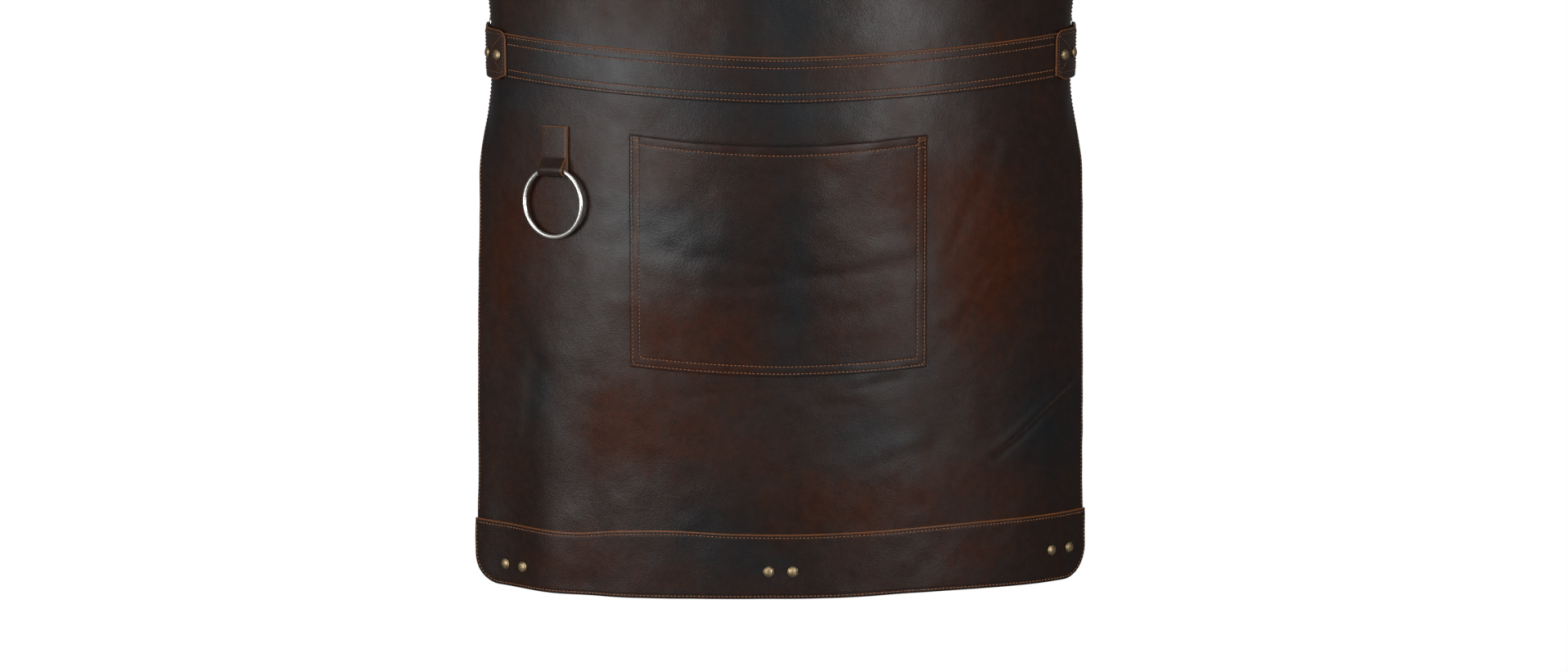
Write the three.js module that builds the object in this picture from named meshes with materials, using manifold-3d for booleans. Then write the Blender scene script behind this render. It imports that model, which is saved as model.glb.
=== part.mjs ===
// Leather welding apron, in the shape it takes when worn: front faces -Y, +X is the wearer's left hand side
// seen from the front, +Z up. The origin is where the neck strap hangs. All sizes are in millimetres.
import * as THREE from 'three';
import { mergeVertices } from 'three/addons/utils/BufferGeometryUtils.js';
import Module from 'manifold-3d';

const wasm = await Module();
wasm.setup();

// ---- driving dimensions ----
const clearance = 0.4; // between pieces that lie on each other
const degree = Math.PI / 180;

const panel = {
  halfWidth: 320, // flat half width at the hem and at the waist
  thickness: 2.4,
  seamHeight: 482, // butt seam between skirt and bib, above the hem
  seamGap: 1,
  hemCornerRadius: 30,
  bibHeight: 400, // seam to bib top
  bibTopHalfWidth: 150,
  bibStraightSide: 85, // straight side above the seam before the armhole starts
};
const shape = {
  hemEdgeAngle: 43.5 * degree, // how far the side edge has turned round the body
  waistEdgeAngle: 48.5 * degree,
  bendPower: 1.2,
  curlAngle: 36 * degree, // extra turn of the side edge where the side tab pulls it back
  curlWidth: 42,
  curlReach: 120,
  waistFlat: 26, // above and below the seam the waist is straight up and down this far
  sideLift: 24, // how far the sides are drawn up at the waist
  liftHeight: 210,
  liftPower: 1.5,
};
const waistBand = { height: 42, thickness: 2.2 };
const hemBand = { height: 61, thickness: 2.2 };
const pocket = { halfWidth: 139, bottom: 209, height: 216, offset: -2.5, thickness: 2.2, gape: 12, mouthDip: 3 };
const wire = 4; // all rings and buckle frames
const ringLoop = { across: -218, top: 424, length: 47, sewnLength: 30, width: 26.5, leaf: 1.9, play: 1.2 };
const toolRing = { innerDiameter: 60 };
const sideTab = { frontLength: 44, backLength: 47, reach: 18, height: 47, leaf: 2 };
const sideRing = { span: 24, cornerRadius: 5, sideClearance: 1.5, play: 1.7 };
const waistStrap = { width: 38, thickness: 3, endStraight: 52, backStraight: 180, depth: 118, tongue: 105, fold: 42 };
const neckStrap = {
  width: 25, thickness: 2.5, across: 124, overlap: 45, rise: 125, backReach: 150, height: 112, hangStraight: 40,
  hangTilt: 50 * degree, tongue: 74, fold: 38,
};
const buckle = { span: 26, barClearance: 0.6, sideClearance: 1.3, prongWidth: 3, slotWidth: 4.6, cornerRadius: 5 };
const neckBuckleFromBib = 82; // heel bar above the bib top
const waistBuckleFromCentre = 20; // heel bar beside the middle of the back
const keeper = { fromBar: 52, length: 10, thickness: 1.6 };
const rivet = { capRadius: 5, capHeight: 2.8, backRadius: 4.6, backHeight: 1.5, postRadius: 1.3, holeRadius: 1.8 };
const hollowSeat = 0.9; // a flat post head stands this far off the hollow back of the curved leather
const hemRivetPairs = [
  { across: -270.5, up: 20.5 },
  { across: 0, up: 26 },
  { across: 285, up: 29.5 },
];
const pairSpacing = 22.4;
const sideTabRivets = [34, 18]; // back from the panel's side edge
const bibRivets = [12, 32]; // up from the neck strap's lower end
const ringEndRivet = 26; // from the side ring's far bar

// ---- finishes ----
const finish = (color, roughness, metalness) => ({ color, roughness, metalness });
const leather = finish(0x33292a, 0.55, 0);
const strapLeather = finish(0x2b2322, 0.5, 0);
const rawLeather = finish(0x3d2c26, 0.6, 0);
const satinSteel = finish(0xb9b6ae, 0.32, 1);
const agedBrass = finish(0x8a6a3a, 0.4, 1);

const group = new THREE.Group();

function addMesh(name, geometry, look) {
  const mesh = new THREE.Mesh(geometry, new THREE.MeshStandardMaterial(look));
  mesh.name = name;
  group.add(mesh);
  return mesh;
}

// ---- the worn surface ----
const smooth = (x) => THREE.MathUtils.smoothstep(x, 0, 1);

// How far the surface has turned towards the back at a distance across, u, and a height above the hem, v.
function turnAt(u, v) {
  const along = Math.abs(u);
  const rise = THREE.MathUtils.clamp(v / (panel.seamHeight - shape.waistFlat), 0, 1);
  const edgeAngle = THREE.MathUtils.lerp(shape.hemEdgeAngle, shape.waistEdgeAngle, rise);
  const curlShare = smooth((along - panel.halfWidth + shape.curlWidth) / shape.curlWidth);
  const fromWaist = Math.abs(v - panel.seamHeight) - shape.waistFlat;
  const nearWaist = smooth(1 - fromWaist / (shape.curlReach - shape.waistFlat));
  return edgeAngle * (along / panel.halfWidth) ** shape.bendPower + shape.curlAngle * curlShare * nearWaist;
}

// A point of the worn surface. h is the distance in front of the panels' outer face.
function onBody(u, v, h) {
  const steps = 32;
  const step = Math.abs(u) / steps;
  let x = 0;
  let y = 0;
  for (let i = 0; i < steps; i += 1) {
    const turn = turnAt((i + 0.5) * step, v);
    x += Math.cos(turn) * step;
    y += Math.sin(turn) * step;
  }
  const turn = turnAt(u, v);
  const side = u < 0 ? -1 : 1;
  const lift = shape.sideLift * smooth(v / shape.liftHeight);
  const z = v + lift * (Math.abs(u) / panel.halfWidth) ** shape.liftPower;
  return new THREE.Vector3(side * (x + h * Math.sin(turn)), y - h * Math.cos(turn), z);
}

// Turns a piece modelled at the origin so that its X runs across the surface, its Y up and its Z outwards.
function bodyFrame(u, v, h) {
  const turn = turnAt(u, v) * (u < 0 ? -1 : 1);
  const across = new THREE.Vector3(Math.cos(turn), Math.sin(turn), 0);
  const outward = new THREE.Vector3(Math.sin(turn), -Math.cos(turn), 0);
  const frame = new THREE.Matrix4().makeBasis(across, new THREE.Vector3(0, 0, 1), outward);
  return frame.setPosition(onBody(u, v, h));
}

// ---- closed solids from grids ----
function indexedGeometry(points, triangles) {
  const geometry = new THREE.BufferGeometry().setFromPoints(points);
  geometry.setIndex(triangles);
  return geometry;
}

function signedVolume(points, triangles) {
  let volume = 0;
  for (let i = 0; i < triangles.length; i += 3) {
    const [a, b, c] = [points[triangles[i]], points[triangles[i + 1]], points[triangles[i + 2]]];
    volume += a.dot(new THREE.Vector3().crossVectors(b, c)) / 6;
  }
  return volume;
}

// A closed slab between two grids of points with the same rows and columns.
function slab(front, back) {
  const rows = front.length;
  const columns = front[0].length;
  const points = [...front.flat(), ...back.flat()];
  const backStart = rows * columns;
  const at = (row, column) => row * columns + column;
  const triangles = [];
  const quad = (a, b, c, d) => triangles.push(a, b, c, a, c, d);
  for (let row = 0; row < rows - 1; row += 1) {
    for (let column = 0; column < columns - 1; column += 1) {
      const [a, b, c, d] = [at(row, column), at(row, column + 1), at(row + 1, column + 1), at(row + 1, column)];
      quad(a, b, c, d);
      triangles.push(backStart + a, backStart + c, backStart + b, backStart + a, backStart + d, backStart + c);
    }
  }
  const wall = (a, b) => quad(b, a, backStart + a, backStart + b);
  for (let column = 0; column < columns - 1; column += 1) {
    wall(at(0, column), at(0, column + 1));
    wall(at(rows - 1, column + 1), at(rows - 1, column));
  }
  for (let row = 0; row < rows - 1; row += 1) {
    wall(at(row + 1, 0), at(row, 0));
    wall(at(row, columns - 1), at(row + 1, columns - 1));
  }
  if (signedVolume(points, triangles) < 0) triangles.reverse();
  return indexedGeometry(points, triangles);
}

// Distances across and up that all layers share, so that their facets lie parallel.
function sharedAcross() {
  const flat = panel.halfWidth - shape.curlWidth;
  const flatSteps = 8;
  const curlSteps = 5;
  const half = [];
  for (let i = 1; i <= flatSteps; i += 1) half.push((flat * i) / flatSteps);
  for (let i = 1; i <= curlSteps; i += 1) half.push(flat + (shape.curlWidth * i) / curlSteps);
  return [...half.map((u) => -u).reverse(), 0, ...half];
}

function sharedUp() {
  const cornerSteps = 4;
  const lines = [];
  for (let i = 0; i <= cornerSteps; i += 1) {
    lines.push(panel.hemCornerRadius * (1 - Math.cos((i * Math.PI) / 2 / cornerSteps)));
  }
  const curlStart = panel.seamHeight - shape.curlReach;
  const bibTop = panel.seamHeight + panel.bibHeight;
  const spread = (from, to, step) => {
    const count = Math.max(1, Math.round((to - from) / step));
    for (let i = 1; i <= count; i += 1) lines.push(from + ((to - from) * i) / count);
  };
  spread(panel.hemCornerRadius, curlStart, 83);
  spread(curlStart, panel.seamHeight + shape.curlReach, 30);
  spread(panel.seamHeight + shape.curlReach, bibTop, 40);
  return lines;
}

const acrossLines = sharedAcross();
const upLines = sharedUp();

function between(lines, from, to) {
  const margin = 1;
  return [from, ...lines.filter((line) => line > from + margin && line < to - margin), to];
}

// Half width of skirt and bib at a height above the hem.
function halfWidthAt(v) {
  if (v < panel.hemCornerRadius) {
    const drop = panel.hemCornerRadius - v;
    return panel.halfWidth - panel.hemCornerRadius + Math.sqrt(panel.hemCornerRadius ** 2 - drop ** 2);
  }
  const armholeStart = panel.seamHeight + panel.bibStraightSide;
  if (v <= armholeStart) return panel.halfWidth;
  const share = (v - armholeStart) / (panel.bibHeight - panel.bibStraightSide);
  const armhole = smooth(share ** 0.7);
  return THREE.MathUtils.lerp(panel.halfWidth, panel.bibTopHalfWidth, armhole);
}

// A full width layer from one height to another, its inner face at h.
function bodyLayer(from, to, h, thickness) {
  const layer = (height) =>
    between(upLines, from, to).map((v) =>
      acrossLines.map((u) => onBody((u * halfWidthAt(v)) / panel.halfWidth, v, height)));
  return slab(layer(h + thickness), layer(h));
}

// ---- booleans ----
function toSolid(geometry) {
  const bare = geometry.clone();
  bare.deleteAttribute('normal');
  bare.deleteAttribute('uv');
  const merged = mergeVertices(bare, 1e-4);
  return new wasm.Manifold(new wasm.Mesh({
    numProp: 3,
    vertProperties: Float32Array.from(merged.attributes.position.array),
    triVerts: Uint32Array.from(merged.index.array),
  }));
}

function fromSolid(solid) {
  const result = solid.getMesh();
  const geometry = new THREE.BufferGeometry();
  geometry.setAttribute('position', new THREE.BufferAttribute(result.vertProperties, 3));
  geometry.setIndex(new THREE.BufferAttribute(result.triVerts, 1));
  return geometry;
}

function cut(geometry, cutters) {
  const solid = cutters.reduce((body, cutter) => body.subtract(toSolid(cutter)), toSolid(geometry));
  return fromSolid(solid);
}

// ---- leather folded along a path and swept straight across it ----
// path holds [s, h] points of the middle of the leather; sweep holds the distances w across it.
function offsetPath(path, distance) {
  return path.map((point, i) => {
    const before = new THREE.Vector2(...path[Math.max(i - 1, 0)]);
    const here = new THREE.Vector2(...point);
    const after = new THREE.Vector2(...path[Math.min(i + 1, path.length - 1)]);
    const arriving = (i === 0 ? after.clone().sub(here) : here.clone().sub(before)).normalize();
    const leaving = (i === path.length - 1 ? here.clone().sub(before) : after.clone().sub(here)).normalize();
    const middle = arriving.clone().add(leaving).normalize();
    const stretch = distance / Math.max(middle.dot(arriving), 0.5);
    return [here.x - middle.y * stretch, here.y + middle.x * stretch];
  });
}

function foldedLeather(path, thickness, sweep, place) {
  const face = (distance) => sweep.map((w) => offsetPath(path, distance).map(([s, h]) => place(s, w, h)));
  return slab(face(thickness / 2), face(-thickness / 2));
}

// Points of an arc in a folded path, angles in degrees.
function arcPath(centreS, centreH, radius, fromAngle, toAngle, steps) {
  const points = [];
  for (let i = 0; i <= steps; i += 1) {
    const angle = (fromAngle + ((toAngle - fromAngle) * i) / steps) * degree;
    points.push([centreS + radius * Math.cos(angle), centreH + radius * Math.sin(angle)]);
  }
  return points;
}

function spacedPath(fromS, toS, h, step) {
  const count = Math.max(1, Math.round(Math.abs(toS - fromS) / step));
  const points = [];
  for (let i = 0; i <= count; i += 1) points.push([fromS + ((toS - fromS) * i) / count, h]);
  return points;
}

// ---- metal pieces, modelled about their own hinge axis ----
// A wire rectangle in the X-Y plane: one bar lies on the Y axis, the other at x = span.
function wireFrame(span, innerWidth, cornerRadius) {
  const chamfer = wire * 0.28;
  const outline = (inset, Target) => {
    const low = -wire / 2 + inset;
    const high = span + wire / 2 - inset;
    const side = innerWidth / 2 + wire - inset;
    const radius = Math.max(cornerRadius - inset, wire * 0.15);
    const target = new Target();
    target.moveTo(low + radius, -side);
    target.lineTo(high - radius, -side);
    target.absarc(high - radius, -side + radius, radius, -Math.PI / 2, 0, false);
    target.lineTo(high, side - radius);
    target.absarc(high - radius, side - radius, radius, 0, Math.PI / 2, false);
    target.lineTo(low + radius, side);
    target.absarc(low + radius, side - radius, radius, Math.PI / 2, Math.PI, false);
    target.lineTo(low, -side + radius);
    target.absarc(low + radius, -side + radius, radius, Math.PI, Math.PI * 1.5, false);
    return target;
  };
  const face = outline(chamfer, THREE.Shape);
  face.holes.push(outline(wire - chamfer, THREE.Path));
  const geometry = new THREE.ExtrudeGeometry(face, {
    depth: wire - 2 * chamfer,
    bevelEnabled: true,
    bevelThickness: chamfer,
    bevelSize: chamfer,
    bevelSegments: 1,
    curveSegments: 2,
  });
  return geometry.translate(0, 0, -wire / 2 + chamfer);
}

// A prong in the X-Z plane: its eye turns on the Y axis and its tip rests over the bar at x = span.
function prongGeometry() {
  const boreRadius = wire / 2 + buckle.barClearance;
  const eyeRadius = boreRadius + 1.5;
  const underside = wire / 2 + clearance;
  const tip = buckle.span + wire * 0.7;
  const outline = new THREE.Shape();
  outline.moveTo(eyeRadius, underside);
  outline.lineTo(tip, underside);
  outline.lineTo(tip, underside + 1.6);
  outline.lineTo(eyeRadius * 0.5, eyeRadius + 0.5);
  outline.absarc(0, 0, eyeRadius, Math.PI * 0.5, Math.PI * 2, false);
  const bore = new THREE.Path();
  bore.absarc(0, 0, boreRadius, 0, Math.PI * 2, true);
  outline.holes.push(bore);
  const geometry = new THREE.ExtrudeGeometry(outline, {
    depth: buckle.prongWidth, bevelEnabled: false, curveSegments: 7,
  });
  return geometry.translate(0, 0, -buckle.prongWidth / 2).rotateX(Math.PI / 2);
}

function place(mesh, frame) {
  frame.decompose(mesh.position, mesh.quaternion, mesh.scale);
  return mesh;
}

// ---- rivets: a domed cap in front, a post with a flat head behind ----
const capSides = 8;
const postSides = 8;

function lathe(profile, sides) {
  const points = profile.map(([radius, height]) => new THREE.Vector2(radius, height));
  return new THREE.LatheGeometry(points, sides).rotateX(Math.PI / 2);
}

function capGeometry() {
  const socket = rivet.postRadius + 0.3;
  return lathe([
    [0, 1.2], [socket, 1.2], [socket, 0], [rivet.capRadius, 0], [rivet.capRadius * 0.92, rivet.capHeight * 0.5],
    [rivet.capRadius * 0.5, rivet.capHeight * 0.9], [0, rivet.capHeight],
  ], capSides);
}

// stack is the distance from the cap's underside to the post's head.
function postGeometry(stack) {
  return lathe([
    [0, -stack - rivet.backHeight], [rivet.backRadius * 0.8, -stack - rivet.backHeight], [rivet.backRadius, -stack],
    [rivet.postRadius, -stack], [rivet.postRadius, 0.8], [0, 0.8],
  ], postSides);
}

function holeCutter(frame) {
  const length = 40;
  const cutter = new THREE.CylinderGeometry(rivet.holeRadius, rivet.holeRadius, length, postSides);
  return cutter.rotateX(Math.PI / 2).applyMatrix4(frame);
}

// frame stands on the outer face of the leather; depth is the leather it goes through.
function addRivet(name, frame, depth) {
  const lifted = frame.clone().multiply(new THREE.Matrix4().makeTranslation(0, 0, clearance));
  place(addMesh(`${name}_cap`, capGeometry(), agedBrass), lifted);
  place(addMesh(`${name}_post`, postGeometry(clearance + depth + hollowSeat), agedBrass), lifted);
}

// ---- layers of the body, as heights of their outer faces ----
const bandInner = clearance;
const bandOuter = bandInner + waistBand.thickness;
const hemOuter = clearance + hemBand.thickness;
const tabInner = bandOuter + clearance;
const tabOuter = tabInner + sideTab.leaf;
const tabBackInner = -panel.thickness - clearance;
const tabBackOuter = tabBackInner - sideTab.leaf;

// Rivets through the body, kept with the frames that their holes are cut by.
const hemRivets = hemRivetPairs.flatMap(({ across, up }) =>
  [-1, 1].map((side) => bodyFrame(across + (side * pairSpacing) / 2, up, hemOuter)));
const sides = [{ name: 'left', side: -1 }, { name: 'right', side: 1 }];
const tabRivets = sides.flatMap(({ side }) =>
  sideTabRivets.map((back) => bodyFrame(side * (panel.halfWidth - back), panel.seamHeight, tabOuter)));
const bibTop = panel.seamHeight + panel.bibHeight;
const strapMiddle = clearance + neckStrap.thickness / 2;
const strapStart = bibTop - neckStrap.overlap;
const strapRivets = sides.flatMap(({ side }) =>
  bibRivets.map((up) => bodyFrame(side * neckStrap.across, strapStart + up, clearance + neckStrap.thickness)));

hemRivets.forEach((frame, i) => addRivet(`hem_rivet_${i + 1}`, frame, hemOuter + panel.thickness));
tabRivets.forEach((frame, i) => addRivet(`side_rivet_${i + 1}`, frame, tabOuter - tabBackOuter));
const bibStack = clearance + neckStrap.thickness + panel.thickness;
strapRivets.forEach((frame, i) => addRivet(`bib_rivet_${i + 1}`, frame, bibStack));

// ---- panels, bands and pocket ----
const bandBottom = panel.seamHeight - waistBand.height / 2;
const bandTop = panel.seamHeight + waistBand.height / 2;
const skirtTop = panel.seamHeight - panel.seamGap / 2;
const bibBottom = panel.seamHeight + panel.seamGap / 2;
const tabCutters = tabRivets.map(holeCutter);
const hemCutters = hemRivets.map(holeCutter);
const bibCutters = strapRivets.map(holeCutter);

const skirt = bodyLayer(0, skirtTop, -panel.thickness, panel.thickness);
addMesh('skirt_panel', cut(skirt, [...hemCutters, ...tabCutters]), leather);
const bib = bodyLayer(bibBottom, bibTop, -panel.thickness, panel.thickness);
addMesh('bib_panel', cut(bib, [...bibCutters, ...tabCutters]), leather);
const band = bodyLayer(bandBottom, bandTop, bandInner, waistBand.thickness);
addMesh('waist_band', cut(band, tabCutters), leather);
const hem = bodyLayer(0, hemBand.height, clearance, hemBand.thickness);
addMesh('hem_band', cut(hem, hemCutters), rawLeather);

// The pocket stands away from the skirt towards its mouth.
function pocketFace(h) {
  const left = pocket.offset - pocket.halfWidth;
  const right = pocket.offset + pocket.halfWidth;
  return between(upLines, pocket.bottom, pocket.bottom + pocket.height).map((v) => {
    const rise = (v - pocket.bottom) / pocket.height;
    return between(acrossLines, left, right).map((u) => {
      const middle = 1 - ((u - pocket.offset) / pocket.halfWidth) ** 2;
      const gape = pocket.gape * rise ** 1.2 * middle;
      return onBody(u, v - pocket.mouthDip * rise * middle, h + gape);
    });
  });
}
addMesh('pocket', slab(pocketFace(clearance + pocket.thickness), pocketFace(clearance)), leather);

// ---- tool ring and its loop ----
const ringRadius = toolRing.innerDiameter / 2 + wire / 2;
const wireRise = (ringRadius - Math.sqrt(ringRadius ** 2 - (ringLoop.width / 2) ** 2)) / 2;
const cavityRadius = wire / 2 + wireRise + ringLoop.play;
const loopBackMiddle = clearance + ringLoop.leaf / 2;
const cavityMiddle = loopBackMiddle + ringLoop.leaf / 2 + cavityRadius;
const foldRadius = cavityRadius + ringLoop.leaf / 2;
const loopBottom = ringLoop.top - ringLoop.length;
const cavityHeight = loopBottom + ringLoop.leaf + cavityRadius;
const loopFrontMiddle = loopBackMiddle + ringLoop.leaf + clearance;
const stitchedBottom = ringLoop.top - ringLoop.sewnLength;
const loopPath = [
  [ringLoop.top, loopBackMiddle],
  [stitchedBottom, loopBackMiddle],
  ...arcPath(cavityHeight, cavityMiddle, foldRadius, 270, 55, 10),
  [stitchedBottom, loopFrontMiddle + 0.8],
  [stitchedBottom + 5, loopFrontMiddle],
  [ringLoop.top, loopFrontMiddle],
];
const loopSweep = [-ringLoop.width / 2, ringLoop.width / 2];
const levelWithLoop = (s, w, h) => // the loop hangs level, though the panel is drawn up towards its side
  onBody(ringLoop.across + w, s, h).setZ(onBody(ringLoop.across, s, h).z);
const loopLeather = foldedLeather(loopPath, ringLoop.leaf, loopSweep, levelWithLoop);
addMesh('ring_loop', loopLeather, strapLeather);

// The ring turns about the chord where its wire leaves the loop's sides.
const ringGeometry = new THREE.TorusGeometry(ringRadius, wire / 2, 8, 26).translate(0, wireRise - ringRadius, 0);
place(addMesh('tool_ring', ringGeometry, satinSteel), bodyFrame(ringLoop.across, cavityHeight, cavityMiddle));

// ---- side tabs and side rings ----
const tabPivot = panel.halfWidth + sideTab.reach;
const tabFoldMiddle = (tabInner + tabBackInner) / 2;
const tabFoldRadius = (tabInner - tabBackInner + sideTab.leaf) / 2;
const tabSweep = between(upLines, panel.seamHeight - sideTab.height / 2, panel.seamHeight + sideTab.height / 2);
const tabPath = [
  ...between(acrossLines, panel.halfWidth - sideTab.frontLength, panel.halfWidth)
    .map((u) => [u, tabInner + sideTab.leaf / 2]),
  ...arcPath(tabPivot, tabFoldMiddle, tabFoldRadius, 90, -90, 8),
  ...between(acrossLines, panel.halfWidth - sideTab.backLength, panel.halfWidth).reverse()
    .map((u) => [u, tabBackInner - sideTab.leaf / 2]),
];
const sideRingInner = sideTab.height + 2 * sideRing.sideClearance;
sides.forEach(({ name, side }, index) => {
  const tab = foldedLeather(tabPath, sideTab.leaf, tabSweep, (s, w, h) => onBody(side * s, w, h));
  const cutters = tabCutters.slice(2 * index, 2 * index + 2);
  addMesh(`side_tab_${name}`, cut(tab, cutters), strapLeather);
});

// ---- straps ----
// Places strap coordinates on a curve: s along it, w across it, h outwards.
function alongCurve(curve, outwardAt) {
  const length = curve.getLength();
  const frameAt = (s) => {
    const share = THREE.MathUtils.clamp(s / length, 0, 1);
    const tangent = curve.getTangent(share).normalize();
    const outward = outwardAt(share, tangent).clone();
    outward.addScaledVector(tangent, -outward.dot(tangent)).normalize();
    const across = new THREE.Vector3().crossVectors(tangent, outward);
    const point = curve.getPoint(share).addScaledVector(tangent, s - share * length);
    return { point, tangent, outward, across };
  };
  const place = (s, w, h) => {
    const { point, outward, across } = frameAt(s);
    return point.addScaledVector(across, w).addScaledVector(outward, h);
  };
  const matrixAt = (s, h) => {
    const { point, tangent, outward, across } = frameAt(s);
    const frame = new THREE.Matrix4().makeBasis(tangent, across.negate(), outward);
    return frame.setPosition(point.addScaledVector(outward, h));
  };
  return { length, place, matrixAt };
}

// Waist strap: from the left side ring straight back, round behind and to the right side ring, all level.
const sideFrame = bodyFrame(tabPivot, panel.seamHeight, tabFoldMiddle);
const pivotRight = new THREE.Vector3().setFromMatrixPosition(sideFrame);
const ringDirection = new THREE.Vector3().setFromMatrixColumn(sideFrame, 0);
const ringOutward = new THREE.Vector3().setFromMatrixColumn(sideFrame, 2);
const ringBarHeight = -(waistStrap.thickness + clearance) / 2; // the far bar lies between the strap's two leaves
const farBar = pivotRight.clone()
  .addScaledVector(ringDirection, sideRing.span)
  .addScaledVector(ringOutward, -ringBarHeight);
const strapTurn = farBar.clone().addScaledVector(ringDirection, waistStrap.endStraight);
const backLevel = strapTurn.y + waistStrap.depth;
const backEdge = new THREE.Vector3(waistStrap.backStraight / 2, backLevel, strapTurn.z);
const mirrored = (vector) => new THREE.Vector3(-vector.x, vector.y, vector.z);
const handle = waistStrap.depth * 0.62;
const bendHandle = strapTurn.clone().addScaledVector(ringDirection, handle);
const backHandle = backEdge.clone().add(new THREE.Vector3(handle * 1.3, 0, 0));
const waistCurve = new THREE.CurvePath();
waistCurve.add(new THREE.LineCurve3(mirrored(farBar), mirrored(strapTurn)));
waistCurve.add(new THREE.CubicBezierCurve3(
  mirrored(strapTurn), mirrored(bendHandle), mirrored(backHandle), mirrored(backEdge)));
waistCurve.add(new THREE.LineCurve3(mirrored(backEdge), backEdge));
waistCurve.add(new THREE.CubicBezierCurve3(backEdge, backHandle, bendHandle, strapTurn));
waistCurve.add(new THREE.LineCurve3(strapTurn, farBar));
const up = new THREE.Vector3(0, 0, 1);
const waist = alongCurve(waistCurve, (share, tangent) => new THREE.Vector3().crossVectors(up, tangent));

// Neck strap: up from the left bib corner, back over the shoulder, behind the neck and down to the right corner.
const cornerFrame = bodyFrame(neckStrap.across, strapStart, strapMiddle);
const cornerStart = new THREE.Vector3().setFromMatrixPosition(cornerFrame);
const cornerOutward = new THREE.Vector3().setFromMatrixColumn(cornerFrame, 2);
const straightTop = cornerStart.clone().add(new THREE.Vector3(0, 0, neckStrap.overlap + neckStrap.rise));
const hangEdge = new THREE.Vector3(
  neckStrap.hangStraight / 2, straightTop.y + neckStrap.backReach, straightTop.z + neckStrap.height);
const shoulderHandle = straightTop.clone().add(new THREE.Vector3(0, 0, neckStrap.height * 0.65));
const neckHandle = hangEdge.clone().add(new THREE.Vector3(neckStrap.across * 0.5, 0, 0));
const neckCurve = new THREE.CurvePath();
neckCurve.add(new THREE.LineCurve3(mirrored(cornerStart), mirrored(straightTop)));
neckCurve.add(new THREE.CubicBezierCurve3(
  mirrored(straightTop), mirrored(shoulderHandle), mirrored(neckHandle), mirrored(hangEdge)));
neckCurve.add(new THREE.LineCurve3(mirrored(hangEdge), hangEdge));
neckCurve.add(new THREE.CubicBezierCurve3(hangEdge, neckHandle, shoulderHandle, straightTop));
neckCurve.add(new THREE.LineCurve3(straightTop, cornerStart));
const straightShare = (neckStrap.overlap + neckStrap.rise) / neckCurve.getLength();
const hangShare = neckStrap.hangStraight / 2 / neckCurve.getLength();
const hangOutward = new THREE.Vector3(0, Math.cos(neckStrap.hangTilt), Math.sin(neckStrap.hangTilt));
const neck = alongCurve(neckCurve, (share) => {
  const fromEnd = Math.min(share, 1 - share);
  const blend = smooth((fromEnd - straightShare) / (0.5 - straightShare - hangShare));
  const start = share < 0.5 ? mirrored(cornerOutward) : cornerOutward;
  const shoulder = new THREE.Vector3(share < 0.5 ? -0.6 : 0.6, 0, 0.8);
  const half = blend < 0.5;
  const [first, second] = half ? [start, shoulder] : [shoulder, hangOutward];
  return first.clone().lerp(second, half ? blend * 2 : blend * 2 - 1);
});

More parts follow.
